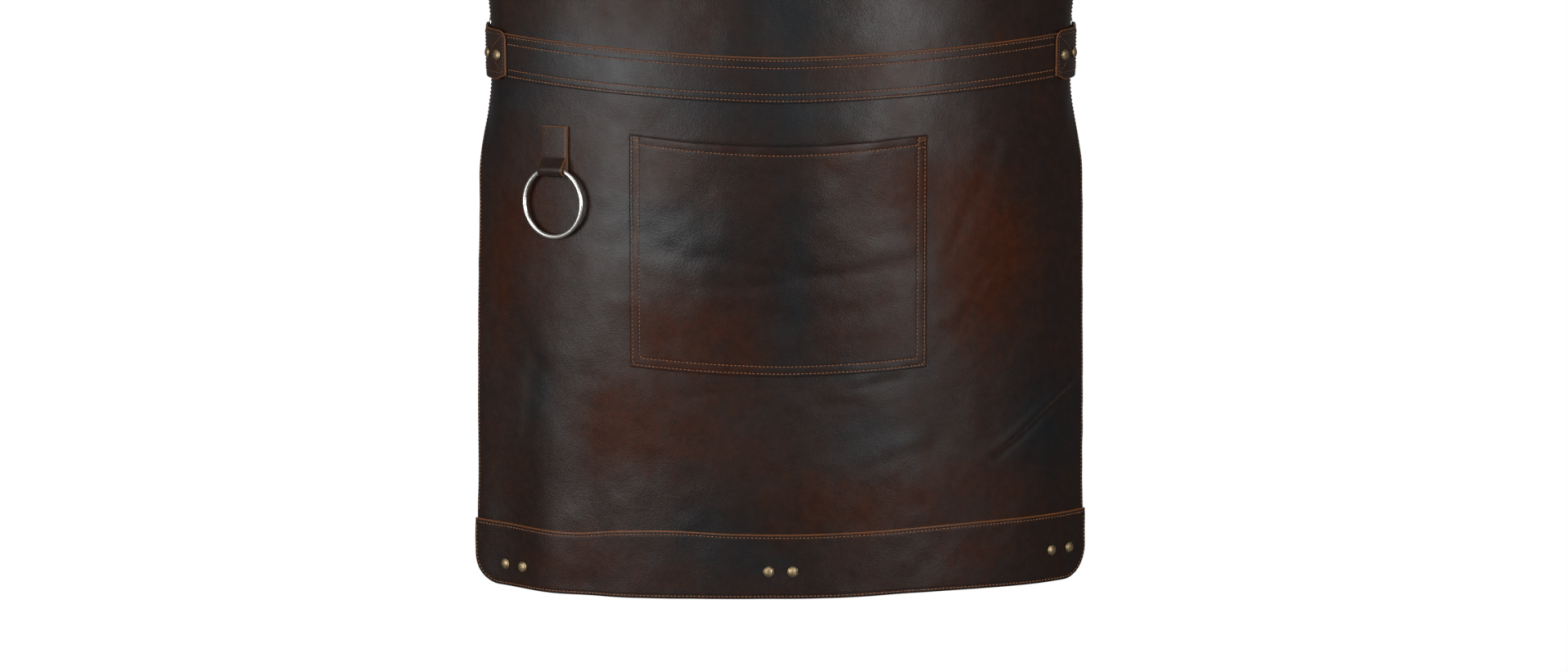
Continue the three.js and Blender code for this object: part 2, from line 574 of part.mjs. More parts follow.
// One buckle: a short strap folded round the heel bar, a frame, a prong, the tongue of the long strap over them
// and a keeper. barAt is the heel bar's distance along the strap.
function addBuckle(name, strap, size, barAt, shortStart, longEnd, shortCutters, longCutters) {
  const half = size.width / 2;
  const middle = size.thickness / 2;
  const foldInner = wire / 2 + buckle.barClearance;
  const foldMiddle = foldInner + middle;
  const barHeight = -middle - clearance / 2;
  const returnHeight = -2 * middle - clearance;
  const closeUp = barAt - 16;
  const step = 24;
  const frame = strap.matrixAt(barAt, barHeight);

  const shortPath = [
    ...shortStart,
    ...spacedPath(shortStart[shortStart.length - 1][0] + 1, closeUp, 0, step).slice(1),
    ...arcPath(barAt, barHeight, foldMiddle, 90, -90, 8),
    ...spacedPath(closeUp, barAt - size.fold, returnHeight, step),
  ];
  const slot = new THREE.BoxGeometry(15, buckle.slotWidth + 0.6, 20).translate(0.5, 0, 0).applyMatrix4(frame);
  const short = foldedLeather(shortPath, size.thickness, [-half, half], strap.place);
  addMesh(`${name}_strap_short`, cut(short, [slot, ...shortCutters]), strapLeather);

  const overFold = barHeight + foldInner + size.thickness + clearance + middle;
  const overStrap = 2 * middle + clearance;
  const underBar = barHeight - wire / 2 - buckle.barClearance - middle;
  const longPath = [
    ...spacedPath(barAt - size.tongue, closeUp - 4, overStrap, step),
    [barAt - 5, overFold],
    [barAt + 2, overFold],
    [barAt + buckle.span - 5, underBar],
    [barAt + buckle.span + 6, underBar],
    [barAt + buckle.span + 40, 0],
    ...longEnd(barAt + buckle.span + 40 + step, step),
  ];
  const prongSlot = new THREE.BoxGeometry(buckle.span + 2, buckle.slotWidth, 30)
    .translate(buckle.span / 2 - 2, 0, 0).applyMatrix4(frame);
  const long = foldedLeather(longPath, size.thickness, [-half, half], strap.place);
  addMesh(`${name}_strap_long`, cut(long, [prongSlot, ...longCutters]), strapLeather);

  const frameGeometry = wireFrame(buckle.span, size.width + 2 * buckle.sideClearance, buckle.cornerRadius);
  place(addMesh(`${name}_buckle_frame`, frameGeometry, satinSteel), frame);
  place(addMesh(`${name}_buckle_prong`, prongGeometry(), satinSteel), frame);

  const inner = { low: -middle - clearance, high: overStrap + middle + clearance, side: half + 0.6 };
  const outline = new THREE.Shape();
  const box = (target, grow) => {
    target.moveTo(-inner.side - grow, inner.low - grow);
    target.lineTo(inner.side + grow, inner.low - grow);
    target.lineTo(inner.side + grow, inner.high + grow);
    target.lineTo(-inner.side - grow, inner.high + grow);
    target.closePath();
  };
  box(outline, keeper.thickness);
  const hole = new THREE.Path();
  box(hole, 0);
  outline.holes.push(hole);
  const keeperGeometry = new THREE.ExtrudeGeometry(outline, { depth: keeper.length, bevelEnabled: false })
    .translate(0, 0, -keeper.length / 2).rotateX(Math.PI / 2).rotateZ(Math.PI / 2);
  place(addMesh(`${name}_strap_keeper`, keeperGeometry, strapLeather), strap.matrixAt(barAt - keeper.fromBar, 0));
}

// Both ends of the waist strap fold round a side ring's far bar, with room for the ring's play.
const ringFoldInner = wire / 2 + sideRing.play + clearance;
const ringFoldMiddle = ringFoldInner + waistStrap.thickness / 2;
const waistMiddle = waistStrap.thickness / 2;
const leftFold = [
  [waistStrap.fold, 2 * ringBarHeight],
  [18, 2 * ringBarHeight],
  ...arcPath(0, ringBarHeight, ringFoldMiddle, 270, 90, 8),
  [18, 0],
];
const waistLength = waist.length;
const rightFold = (from, step) => [
  ...spacedPath(from, waistLength - 18, 0, step),
  ...arcPath(waistLength, ringBarHeight, ringFoldMiddle, 90, -90, 8),
  [waistLength - 18, 2 * ringBarHeight],
  [waistLength - waistStrap.fold, 2 * ringBarHeight],
];
const ringRivets = [ringEndRivet, waistLength - ringEndRivet].map((s) => waist.matrixAt(s, waistMiddle));
const ringCutters = ringRivets.map(holeCutter);
ringRivets.forEach((frame, i) => addRivet(`strap_rivet_${i + 1}`, frame, 2 * waistStrap.thickness + clearance));
addBuckle('waist', waist, waistStrap, waistLength / 2 - waistBuckleFromCentre, leftFold, rightFold,
  ringCutters.slice(0, 1), ringCutters.slice(1));

const neckRun = (from, step) => spacedPath(from, neck.length, 0, step);
addBuckle('neck', neck, neckStrap, neckStrap.overlap + neckBuckleFromBib, [[0, 0], [neckStrap.overlap, 0]], neckRun,
  bibCutters.slice(0, 2), bibCutters.slice(2));

// Each side ring sits with one bar in its tab and the other in the strap's fold.
const sideRingGeometry = () => wireFrame(sideRing.span, sideRingInner, sideRing.cornerRadius);
place(addMesh('side_ring_right', sideRingGeometry(), satinSteel), sideFrame);
const leftSideFrame = bodyFrame(-tabPivot, panel.seamHeight, tabFoldMiddle)
  .multiply(new THREE.Matrix4().makeRotationZ(Math.PI));
place(addMesh('side_ring_left', sideRingGeometry(), satinSteel), leftSideFrame);

// The origin moves to the middle of the neck strap's inner face, where the apron hangs.
const hangPoint = neck.place(neck.length / 2, 0, -neckStrap.thickness / 2);
group.position.copy(hangPoint).negate();

export default group;
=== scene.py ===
import bpy
import math
import numpy as np
from mathutils import Matrix, Vector


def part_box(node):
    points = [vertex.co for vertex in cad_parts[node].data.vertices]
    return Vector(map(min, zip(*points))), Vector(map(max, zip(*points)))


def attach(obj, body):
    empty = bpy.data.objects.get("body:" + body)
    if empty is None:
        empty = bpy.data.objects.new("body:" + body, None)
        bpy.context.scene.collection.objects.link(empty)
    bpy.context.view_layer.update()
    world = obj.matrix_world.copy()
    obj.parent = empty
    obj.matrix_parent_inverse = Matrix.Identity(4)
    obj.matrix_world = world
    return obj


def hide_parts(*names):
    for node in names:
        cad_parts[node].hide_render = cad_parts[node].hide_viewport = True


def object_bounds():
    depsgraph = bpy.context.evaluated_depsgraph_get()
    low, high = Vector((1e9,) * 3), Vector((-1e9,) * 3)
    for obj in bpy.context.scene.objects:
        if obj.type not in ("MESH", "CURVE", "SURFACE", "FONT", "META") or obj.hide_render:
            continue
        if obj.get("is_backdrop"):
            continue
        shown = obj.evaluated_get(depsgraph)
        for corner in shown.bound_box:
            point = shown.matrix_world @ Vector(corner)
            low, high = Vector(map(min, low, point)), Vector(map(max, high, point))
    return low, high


# A leather welding apron in the shape it takes when worn, hung from the middle of its neck strap. Metres,
# except that the hide's own distances across and up it are in millimetres, as a cutter marks them.
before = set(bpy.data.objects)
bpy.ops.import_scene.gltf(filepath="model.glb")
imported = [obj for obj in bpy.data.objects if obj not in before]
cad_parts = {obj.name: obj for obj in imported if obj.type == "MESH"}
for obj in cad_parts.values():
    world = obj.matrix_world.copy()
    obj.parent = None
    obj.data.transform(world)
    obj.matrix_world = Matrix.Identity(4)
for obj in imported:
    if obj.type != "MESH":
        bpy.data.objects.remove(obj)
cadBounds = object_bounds()
print("frame loaded")

mm = 0.001
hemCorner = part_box("skirt_panel")[0]
bodyOrigin = np.array([0.0, hemCorner[1], hemCorner[2]])  # front centre of the hem

# Materials. Patterns are set by their real size: a scale of 1000 / size in millimetres.


def colour(hexValue):
    channels = [int(hexValue[i:i + 2], 16) / 255 for i in (1, 3, 5)]
    linear = [c / 12.92 if c <= 0.04045 else ((c + 0.055) / 1.055) ** 2.4 for c in channels]
    return (*linear, 1.0)


def newMaterial(name):
    material = bpy.data.materials.new(name)
    material.use_nodes = True
    tree = material.node_tree
    return material, tree, tree.nodes["Principled BSDF"]


# Adds a node. settings are its own properties, stops fill its colour ramp, and inputs are values or sockets.
def addNode(tree, kind, inputs=None, stops=(), **settings):
    node = tree.nodes.new("ShaderNode" + kind)
    for key, value in settings.items():
        setattr(node, key, value)
    for i, (place, value) in enumerate(stops):
        element = node.color_ramp.elements[i] if i < 2 else node.color_ramp.elements.new(place)
        element.position = place
        element.color = value
    for target, value in (inputs or {}).items():
        if isinstance(value, bpy.types.NodeSocket):
            tree.links.new(value, node.inputs[target])
        else:
            node.inputs[target].default_value = value
    return node


# Waxed pull-up cowhide, drum dyed and pebbled. It goes blue-black where it is burnished and red-brown where
# the wax has rubbed thin, so broad soft patches under a low satin sheen reach the eye before the grain does.
# The blue-black is also laid on as painted shade, down the middle where the lamps leave the hide dark.
waxedCowhide = {
    "base": "#21130d", "burnishedAndShade": "#0a0d11", "rubbed": "#361708", "crease": "#473429", "worn": "#7c4820",
    "cloud": 110, "mottle": 24,  # millimetres
    "pebble": 2.3, "wrinkle": 8,  # the grain is drawn a little coarser than real, to show
    "roughLow": 0.34, "roughHigh": 0.48, "bump": 0.2,
    "sheenBurnished": 0.36, "sheenRubbed": 0.12,
}
strapCowhide = dict(waxedCowhide, base="#291c16", burnishedAndShade="#181210", rubbed="#371f15", cloud=60, bump=0.15)


def cowhide(name, look):
    material, tree, shader = newMaterial(name)
    space = addNode(tree, "TexCoord").outputs["Object"]
    layers = []
    for key, detail, falloff in (("cloud", 5.0, 0.55), ("mottle", 6.0, 0.65), ("wrinkle", 8.0, 0.7)):
        layers.append(addNode(tree, "TexNoise", {
            "Vector": space, "Scale": 1000 / look[key], "Detail": detail, "Roughness": falloff}).outputs[0])
    cloud, mottle, fine = layers
    pebble = addNode(
        tree, "TexVoronoi", {"Vector": space, "Scale": 1000 / look["pebble"]}, feature="DISTANCE_TO_EDGE")
    rub, crease, edge = (
        addNode(tree, "Attribute", attribute_name=label).outputs["Fac"]
        for label in ("rub", "crease", "edge"))

    # tone runs from below 0, burnished, to above 0, rubbed; the patches' painted shade also lies below 0
    drift = addNode(tree, "Math", {0: cloud, 1: 1.3, 2: -0.65}, operation="MULTIPLY_ADD")
    speck = addNode(tree, "Math", {0: mottle, 1: 1.5, 2: -0.75}, operation="MULTIPLY_ADD")
    marked = addNode(tree, "Math", {0: drift.outputs[0], 1: speck.outputs[0]}, operation="ADD")
    tone = addNode(tree, "Math", {0: marked.outputs[0], 1: rub}, operation="ADD").outputs[0]
    wearing = addNode(tree, "Math", {0: mottle, 1: 0.35}, operation="ADD").outputs[0]
    # painted shade: the blue-black mixed in below 0 is burnish, and painted shade where the middle patches
    # put it
    warm, shadeAndBurnishAmount, pale, worn = (
        addNode(tree, "Math", {0: value, 1: times}, operation="MULTIPLY", use_clamp=True).outputs[0]
        for value, times in ((tone, 0.9), (tone, -1.1), (crease, 0.35), (edge, wearing)))
    # painted shade and light: the colour darkens where the wrinkle noise, which also raises the bump, is low
    # and lightens where it is high
    paintedReliefShade = addNode(
        tree, "ValToRGB", {"Fac": fine}, stops=[(0.2, (0.5, 0.5, 0.5, 1)), (0.8, (1.5, 1.5, 1.5, 1))])
    # painted highlight: the crease colour is laid along one wall of each fold, over the paling of stretched
    # pull-up leather
    tint = colour(look["base"])
    for amount, over, blend in (
            (shadeAndBurnishAmount, colour(look["burnishedAndShade"]), "MIX"), (warm, colour(look["rubbed"]), "MIX"),
            (1.0, paintedReliefShade.outputs[0], "MULTIPLY"),
            (pale, colour(look["crease"]), "MIX"), (worn, colour(look["worn"]), "MIX")):
        tint = addNode(
            tree, "Mix", {0: amount, 6: tint, 7: over}, data_type="RGBA", blend_type=blend).outputs[2]
    tree.links.new(tint, shader.inputs["Base Color"])

    rough = addNode(tree, "MapRange", {0: cloud, 1: 0.3, 2: 0.7, 3: look["roughLow"], 4: look["roughHigh"]})
    tree.links.new(rough.outputs[0], shader.inputs["Roughness"])
    height = addNode(
        tree, "Math", {0: fine, 1: 1.6, 2: pebble.outputs["Distance"]}, operation="MULTIPLY_ADD").outputs[0]
    bump = addNode(tree, "Bump", {"Height": height, "Strength": look["bump"], "Distance": 0.9 * mm})
    tree.links.new(bump.outputs[0], shader.inputs["Normal"])
    shader.inputs["IOR"].default_value = 1.5
    sheen = addNode(
        tree, "MapRange", {0: tone, 1: -0.9, 2: 0.9, 3: look["sheenBurnished"], 4: look["sheenRubbed"]})
    tree.links.new(sheen.outputs[0], shader.inputs["Specular IOR Level"])
    return material


# The other materials: one grain of noise tints, roughens and dents them as far as their settings say.
def grained(name, look):
    material, tree, shader = newMaterial(name)
    space = addNode(tree, "TexCoord").outputs["Object"]
    grain = addNode(tree, "TexNoise", {
        "Vector": space, "Scale": 1000 / look["grain"], "Detail": look["detail"],
        "Roughness": look["falloff"]})
    shade = grain.outputs[0]
    if "drift" in look:
        drift = addNode(tree, "TexNoise", {
            "Vector": space, "Scale": 1000 / look["drift"], "Detail": 4.0, "Roughness": 0.6})
        shade = addNode(tree, "Mix", {0: 0.5, 2: shade, 3: drift.outputs[0]}, data_type="FLOAT").outputs[0]
    if "stops" in look:
        stops = list(zip(look["stops"], (colour(look["dark"]), colour(look["light"]))))
        ramp = addNode(tree, "ValToRGB", {"Fac": shade}, stops=stops)
        tree.links.new(ramp.outputs[0], shader.inputs["Base Color"])
    if "rough" in look:
        low, high = look["rough"]
        rough = addNode(tree, "MapRange", {0: shade, 1: 0.3, 2: 0.7, 3: low, 4: high})
        tree.links.new(rough.outputs[0], shader.inputs["Roughness"])
    if "bump" in look:
        dents = {"Height": grain.outputs[0], "Strength": look["bump"], "Distance": look["depth"] * mm}
        tree.links.new(addNode(tree, "Bump", dents).outputs[0], shader.inputs["Normal"])
    for label, value in look["inputs"].items():
        shader.inputs[label].default_value = value
    return material


# Cut edges of vegetable retanned hide: loose fibres that keep the tan's orange, rough and matt.
tanEdge = {
    "light": "#875225", "dark": "#582e15", "stops": (0.3, 0.68), "grain": 2.4, "detail": 6.0, "falloff": 0.7,
    "bump": 0.5, "depth": 0.4, "inputs": {"Roughness": 0.78, "IOR": 1.5},
}
dyedEdge = dict(tanEdge, light="#271a13", dark="#130d0b")
# The hide's flesh side: napped like suede, brown and quite matt, paler at grazing angles.
napped = {
    "light": "#84644b", "dark": "#54392a", "stops": (0.35, 0.65), "grain": 3.8, "detail": 9.0,
    "falloff": 0.75, "drift": 90, "bump": 0.45, "depth": 0.5,
    "inputs": {"Roughness": 0.9, "Sheen Weight": 0.25, "Sheen Roughness": 0.5},
}
# Waxed three ply polyester thread: tan, twisted, with a slight gloss.
waxedThread = {
    "light": "#99623b", "dark": "#64381d", "stops": (0.35, 0.65), "grain": 1.1, "detail": 3.0, "falloff": 0.5,
    "inputs": {"Roughness": 0.55},
}
darkThread = dict(waxedThread, light="#583a2b", dark="#382116")
# Stainless steel wire, tumbled to a satin finish: long soft highlights, very fine scratches.
satinWire = {
    "grain": 0.9, "detail": 4.0, "falloff": 0.5, "rough": (0.26, 0.36), "bump": 0.03, "depth": 0.2,
    "inputs": {"Base Color": colour("#dedcd6"), "Metallic": 1.0},
}
# Brass stampings, darkened in a bath and rubbed back: the crowns stay pale and the tarnish lies in specks.
bathedBrass = {
    "light": "#b7a07c", "dark": "#6f5f48", "stops": (0.3, 0.62), "grain": 3, "detail": 5.0, "falloff": 0.6,
    "inputs": {"Metallic": 1.0, "Roughness": 0.5},
}

panelHide = cowhide("waxedCowhide", waxedCowhide)
strapHide = cowhide("waxedStrapCowhide", strapCowhide)
tanCut = grained("orangeCutEdge", tanEdge)
dyedCut = grained("dyedCutEdge", dyedEdge)
flesh = grained("nappedFleshSide", napped)
tanThread = grained("waxedTanThread", waxedThread)
brownThread = grained("waxedBrownThread", darkThread)
steel = grained("satinStainlessSteel", satinWire)
brass = grained("antiquedBrass", bathedBrass)
print("materials made")

# The worn surface. Millimetres across it from the middle, u, up from the hem, v, and out from the panels, h.
hide = {
    "halfWidth": 320, "thickness": 2.4, "seam": 482, "seamGap": 1, "hemCorner": 30, "bibTop": 882,
    "bibTopHalf": 150, "armholeStart": 567, "hemEdge": 43.5, "waistEdge": 48.5, "bend": 1.2, "curl": 36,
    "curlWidth": 42, "curlReach": 120, "waistFlat": 26, "lift": 24, "liftHeight": 210, "liftPower": 1.5,
    "layerGap": 0.4,
}


def smooth(x):
    x = np.clip(x, 0, 1)
    return x * x * (3 - 2 * x)


def hump(x, centre, width):
    return np.exp(-(((x - centre) / width) ** 2))


def turnAt(u, v):
    along = np.abs(u)
    rise = np.clip(v / (hide["seam"] - hide["waistFlat"]), 0, 1)
    edge = hide["hemEdge"] + (hide["waistEdge"] - hide["hemEdge"]) * rise
    curl = smooth((along - hide["halfWidth"] + hide["curlWidth"]) / hide["curlWidth"])
    fromWaist = np.abs(v - hide["seam"]) - hide["waistFlat"]
    nearWaist = smooth(1 - fromWaist / (hide["curlReach"] - hide["waistFlat"]))
    return np.radians(edge * (along / hide["halfWidth"]) ** hide["bend"] + hide["curl"] * curl * nearWaist)


# Smooth random heights from 0 to 1, one new height at each whole number of x and y.
def heightNoise(x, y, seed):
    column, row = np.floor(x).astype(np.int64), np.floor(y).astype(np.int64)
    across, up = smooth(x - column), smooth(y - row)
    table = np.random.RandomState(seed).rand(64, 64)
    corner = lambda i, j: table[(column + i) % 64, (row + j) % 64]
    low = corner(0, 0) * (1 - across) + corner(1, 0) * across
    high = corner(0, 1) * (1 - across) + corner(1, 1) * across
    return low * (1 - up) + high * up


# Folds pressed into the hide: from and to across and up it, depth and width.
folds = [
    {"start": (195, 112), "end": (316, 171), "depth": 1.5, "width": 3.0},
    {"start": (52, 194), "end": (122, 201), "depth": 0.55, "width": 4.0},
    {"start": (24, 184), "end": (84, 178), "depth": 0.4, "width": 4.5},
    {"start": (-96, 186), "end": (-40, 194), "depth": 0.4, "width": 5.0},
    {"start": (150, 300), "end": (205, 392), "depth": 0.35, "width": 5.5},
    {"start": (160, 235), "end": (212, 300), "depth": 0.3, "width": 4.5},
    {"start": (205, 330), "end": (238, 420), "depth": 0.3, "width": 5.0},
    {"start": (60, 118), "end": (150, 134), "depth": 0.3, "width": 6.0},
    {"start": (-262, 110), "end": (-240, 215), "depth": 0.5, "width": 9.0},
]


# How deep the folds press the hide in, and how pale each spot is drawn along one wall of each fold: partly
# the pull-up leather stretched pale, partly a painted highlight.
def foldShape(u, v):
    depth = np.zeros(np.broadcast(u, v).shape)
    pale = np.zeros_like(depth)
    for fold in folds:
        (startU, startV), (endU, endV) = fold["start"], fold["end"]
        length = math.hypot(endU - startU, endV - startV)
        runU, runV = (endU - startU) / length, (endV - startV) / length
        along = ((u - startU) * runU + (v - startV) * runV) / length
        aside = -(u - startU) * runV + (v - startV) * runU + 1.5 * np.sin(along * 7)
        fade = smooth(along / 0.25) * smooth((1 - along) / 0.18)
        ridge = hump(aside, fold["width"] * 2, fold["width"] * 1.7)
        depth += fold["depth"] * fade * (0.75 * ridge - hump(aside, 0, fold["width"]))
        pale += fade * min(1, fold["depth"]) ** 2 * hump(aside, fold["width"] * 0.9, fold["width"] * 0.4)
    return depth, pale


# Hardware and straps hold the hide flat here: across, up, reach.
flatSpots = [(-218, 388, 38), (-124, 862, 48), (124, 862, 48), (-330, 482, 44), (330, 482, 44)]


# How far the hide stands off its smooth shape, the same for every layer that is sewn to it.
def relief(u, v):
    drape = 2.4 * np.sin((u + 250) / 15.5) * smooth((-130 - u) / 70) * smooth(1 - v / 330)
    slack = 2.4 * (heightNoise(u / 95 + 9, v / 120 + 4, 3) - 0.5)
    slack = slack + 1.3 * (heightNoise(u / 38 + 20, v / 46, 5) - 0.5)
    slack = slack + 0.55 * (heightNoise(u / 17 + 30, v / 14 + 7, 6) - 0.5)
    free = 1 - 0.8 * smooth(1 - np.abs(v - hide["seam"]) / 60)
    for across, up, reach in flatSpots:
        free = free * (1 - hump(u, across, reach) * hump(v, up, reach))
    return (drape + slack) * free + foldShape(u, v)[0]


# The hem hangs lower at one corner than at the other.
def hemTilt(u, v):
    drop = 1.2 + 5.3 * smooth(-u / 270) - 4 * smooth(u / 200) + 4.2 * smooth((u - 100) / 190)
    return -drop * smooth(1 - v / 260)


def onBody(u, v, h, shaped=True):
    u, v, h = np.broadcast_arrays(*(np.asarray(value, float) for value in (u, v, h)))
    steps = 32
    part = np.abs(u) / steps
    x = np.zeros(u.shape)
    y = np.zeros(u.shape)
    for i in range(steps):
        turn = turnAt((i + 0.5) * part, v)
        x += np.cos(turn) * part
        y += np.sin(turn) * part
    turn = turnAt(u, v)
    side = np.where(u < 0, -1, 1)
    lift = hide["lift"] * smooth(v / hide["liftHeight"])
    z = v + lift * (np.abs(u) / hide["halfWidth"]) ** hide["liftPower"]
    if shaped:
        h = h + relief(u, v)
        z = z + hemTilt(u, v)
    points = np.stack([side * (x + h * np.sin(turn)), y - h * np.cos(turn), z], axis=-1)
    return points * mm + bodyOrigin


def bodyNormal(u, v):
    turn = turnAt(np.asarray(u, float), np.asarray(v, float)) * np.where(np.asarray(u) < 0, -1, 1)
    return np.stack([np.sin(turn), -np.cos(turn), np.zeros_like(turn)], axis=-1)


def halfWidthAt(v):
    v = np.asarray(v, float)
    drop = np.clip(hide["hemCorner"] - v, 0, hide["hemCorner"])
    low = hide["halfWidth"] - hide["hemCorner"] + np.sqrt(hide["hemCorner"] ** 2 - drop ** 2)
    share = np.clip((v - hide["armholeStart"]) / (hide["bibTop"] - hide["armholeStart"]), 0, 1)
    high = hide["halfWidth"] + (hide["bibTopHalf"] - hide["halfWidth"]) * smooth(share ** 0.7)
    return np.where(v < hide["armholeStart"], low, high)


# Where the finish is rubbed (above 0) or burnished (below 0), and where painted shade darkens the hide (below
# 0) down the middle, where the lamps leave it dark: across, up, half width, half height, strength.
finishAndShadePatches = [
    (200, 317, 48, 60, 1.15), (160, 372, 45, 50, 0.6), (192, 263, 42, 60, 0.6), (112, 394, 35, 40, 0.35),
    (-122, 246, 42, 34, 0.5), (-138, 147, 62, 45, 0.75), (-247, 335, 36, 45, 0.6), (-285, 287, 22, 75, 0.5),
    (92, 486, 60, 26, 0.6), (48, 82, 62, 28, 0.6), (120, 93, 50, 30, 0.5), (-255, 105, 42, 40, 0.35),
    (-175, 172, 50, 40, 0.4), (-205, 35, 62, 25, 0.35), (180, 35, 62, 25, 0.35), (-212, 392, 30, 30, 0.3),
    (-40, 250, 60, 30, 0.25), (42, 404, 42, 20, 0.3), (230, 90, 40, 30, 0.3),
    (-80, 337, 52, 36, -0.8), (-122, 347, 36, 20, -0.5), (15, 366, 26, 110, -0.6), (8, 255, 28, 60, -0.6),
    (92, 208, 60, 18, -0.6), (88, 153, 56, 40, -0.75), (-72, 63, 46, 35, -0.7), (-236, 160, 36, 46, -0.7),
    (11, 545, 42, 60, -0.8), (-178, 492, 82, 26, -0.7), (255, 138, 42, 46, -0.75), (-255, 445, 42, 26, -0.55),
    (-305, 400, 22, 62, -0.4), (-18, 33, 42, 26, -0.5), (235, 35, 30, 20, -0.3), (-63, 455, 62, 22, -0.5),
    (50, 452, 52, 18, -0.5), (-120, 700, 60, 50, -0.5), (90, 760, 60, 70, 0.5), (-60, 620, 60, 40, 0.4),
]


# The patches' sum: rubbed and burnished finish, with painted shade in the strip down the middle.
def rubAndShadeAt(u, v):
    total = np.zeros(np.broadcast(u, v).shape)
    for across, up, wide, high, strength in finishAndShadePatches:
        total += strength * hump(u, across, wide) * hump(v, up, high)
    return total


# Building leather pieces from grids of points.


def meshObject(name, vertices, faces, materials, faceMaterials=None):
    mesh = bpy.data.meshes.new(name)
    mesh.from_pydata([tuple(point) for point in vertices], [], faces)
    for material in materials:
        mesh.materials.append(material)
    if faceMaterials is not None:
        mesh.polygons.foreach_set("material_index", np.asarray(faceMaterials, dtype=np.int32))
    mesh.update()
    piece = bpy.data.objects.new(name, mesh)
    bpy.context.scene.collection.objects.link(piece)
    return piece


def onlySelect(piece):
    bpy.ops.object.select_all(action="DESELECT")
    piece.select_set(True)
    bpy.context.view_layer.objects.active = piece


# Shades a piece, rides it on its body and lets it stand for its CAD nodes.
def finishPiece(piece, body, slotName, *nodes, angle=45):
    onlySelect(piece)
    bpy.ops.object.shade_smooth_by_angle(angle=math.radians(angle))
    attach(piece, body)
    if nodes:
        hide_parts(*nodes)
    return piece


# A closed piece between two grids. materials are for its outer face, inner face and cut edge, and the last
# one is for the edge along the top.
def slab(name, outer, inner, materials, marks=None):
    rows, columns = outer.shape[:2]
    count = rows * columns
    index = np.arange(count).reshape(rows, columns)
    lowLeft, lowRight = index[:-1, :-1].ravel(), index[:-1, 1:].ravel()
    highRight, highLeft = index[1:, 1:].ravel(), index[1:, :-1].ravel()
    front = np.stack([lowLeft, lowRight, highRight, highLeft], axis=1)
    back = np.stack([lowLeft, highLeft, highRight, lowRight], axis=1) + count
    rim = np.concatenate([index[0], index[1:, -1], index[-1, -2::-1], index[-2::-1, 0]])
    walls = np.stack([rim[1:], rim[:-1], rim[:-1] + count, rim[1:] + count], axis=1)
    faces = np.concatenate([front, back, walls])
    row, column = rows // 2, columns // 2
    corner = outer[row, column]
    facing = np.cross(outer[row, column + 1] - corner, outer[row + 1, column] - corner)
    if np.dot(facing, corner - inner[row, column]) < 0:
        faces = faces[:, ::-1]
    topWall = np.arange(len(walls)) - (columns - 1) - (rows - 1)
    wallKinds = np.where((topWall >= 0) & (topWall < columns - 1), len(materials) - 1, 2)
    kinds = np.concatenate([np.repeat([0, 1], [len(front), len(back)]), wallKinds])
    vertices = np.concatenate([outer.reshape(-1, 3), inner.reshape(-1, 3)])
    piece = meshObject(name, vertices, faces.tolist(), materials, kinds)
    for label, values in (marks or {}).items():
        attribute = piece.data.attributes.new(label, "FLOAT", "POINT")
        attribute.data.foreach_set("value", np.tile(values.ravel(), 2).astype(np.float32))
    return piece


# Even steps from low to high with extra lines where they are wanted, none nearer than closest.
closest = 0.125


def spacedLines(low, high, step, extra=()):
    count = max(2, round((high - low) / step))
    lines = sorted([*np.linspace(low, high, count + 1), *(line for line in extra if low < line < high)])
    kept = [low]
    for line in lines:
        if line - kept[-1] > closest:
            kept.append(line)
    kept[-1] = high
    return np.array(kept)


edgeLines = np.array([0.25, 0.8, 1.6, 2.6, 4.0])  # grid lines in from a cut edge, where it rounds over
acrossRow = (-1.4, -0.6, 0, 0.6, 1.4)  # grid lines either side of a sewn row
acrossSeam = (-1.5, -0.7, 0, 0.7, 1.5)
stitch = {"pitch": 3.75, "share": 0.64, "radius": 0.42, "sides": 6, "pull": 0.3, "lift": 0.1}


# The height leather loses where its edge rounds over and where thread pulls it in.
def lostHeight(fromEdge, sewn, along):
    ripple = 0.7 + 0.3 * np.cos(2 * np.pi * along / stitch["pitch"])
    return 0.55 * np.exp(-fromEdge / 0.9) + stitch["pull"] * sewn * ripple


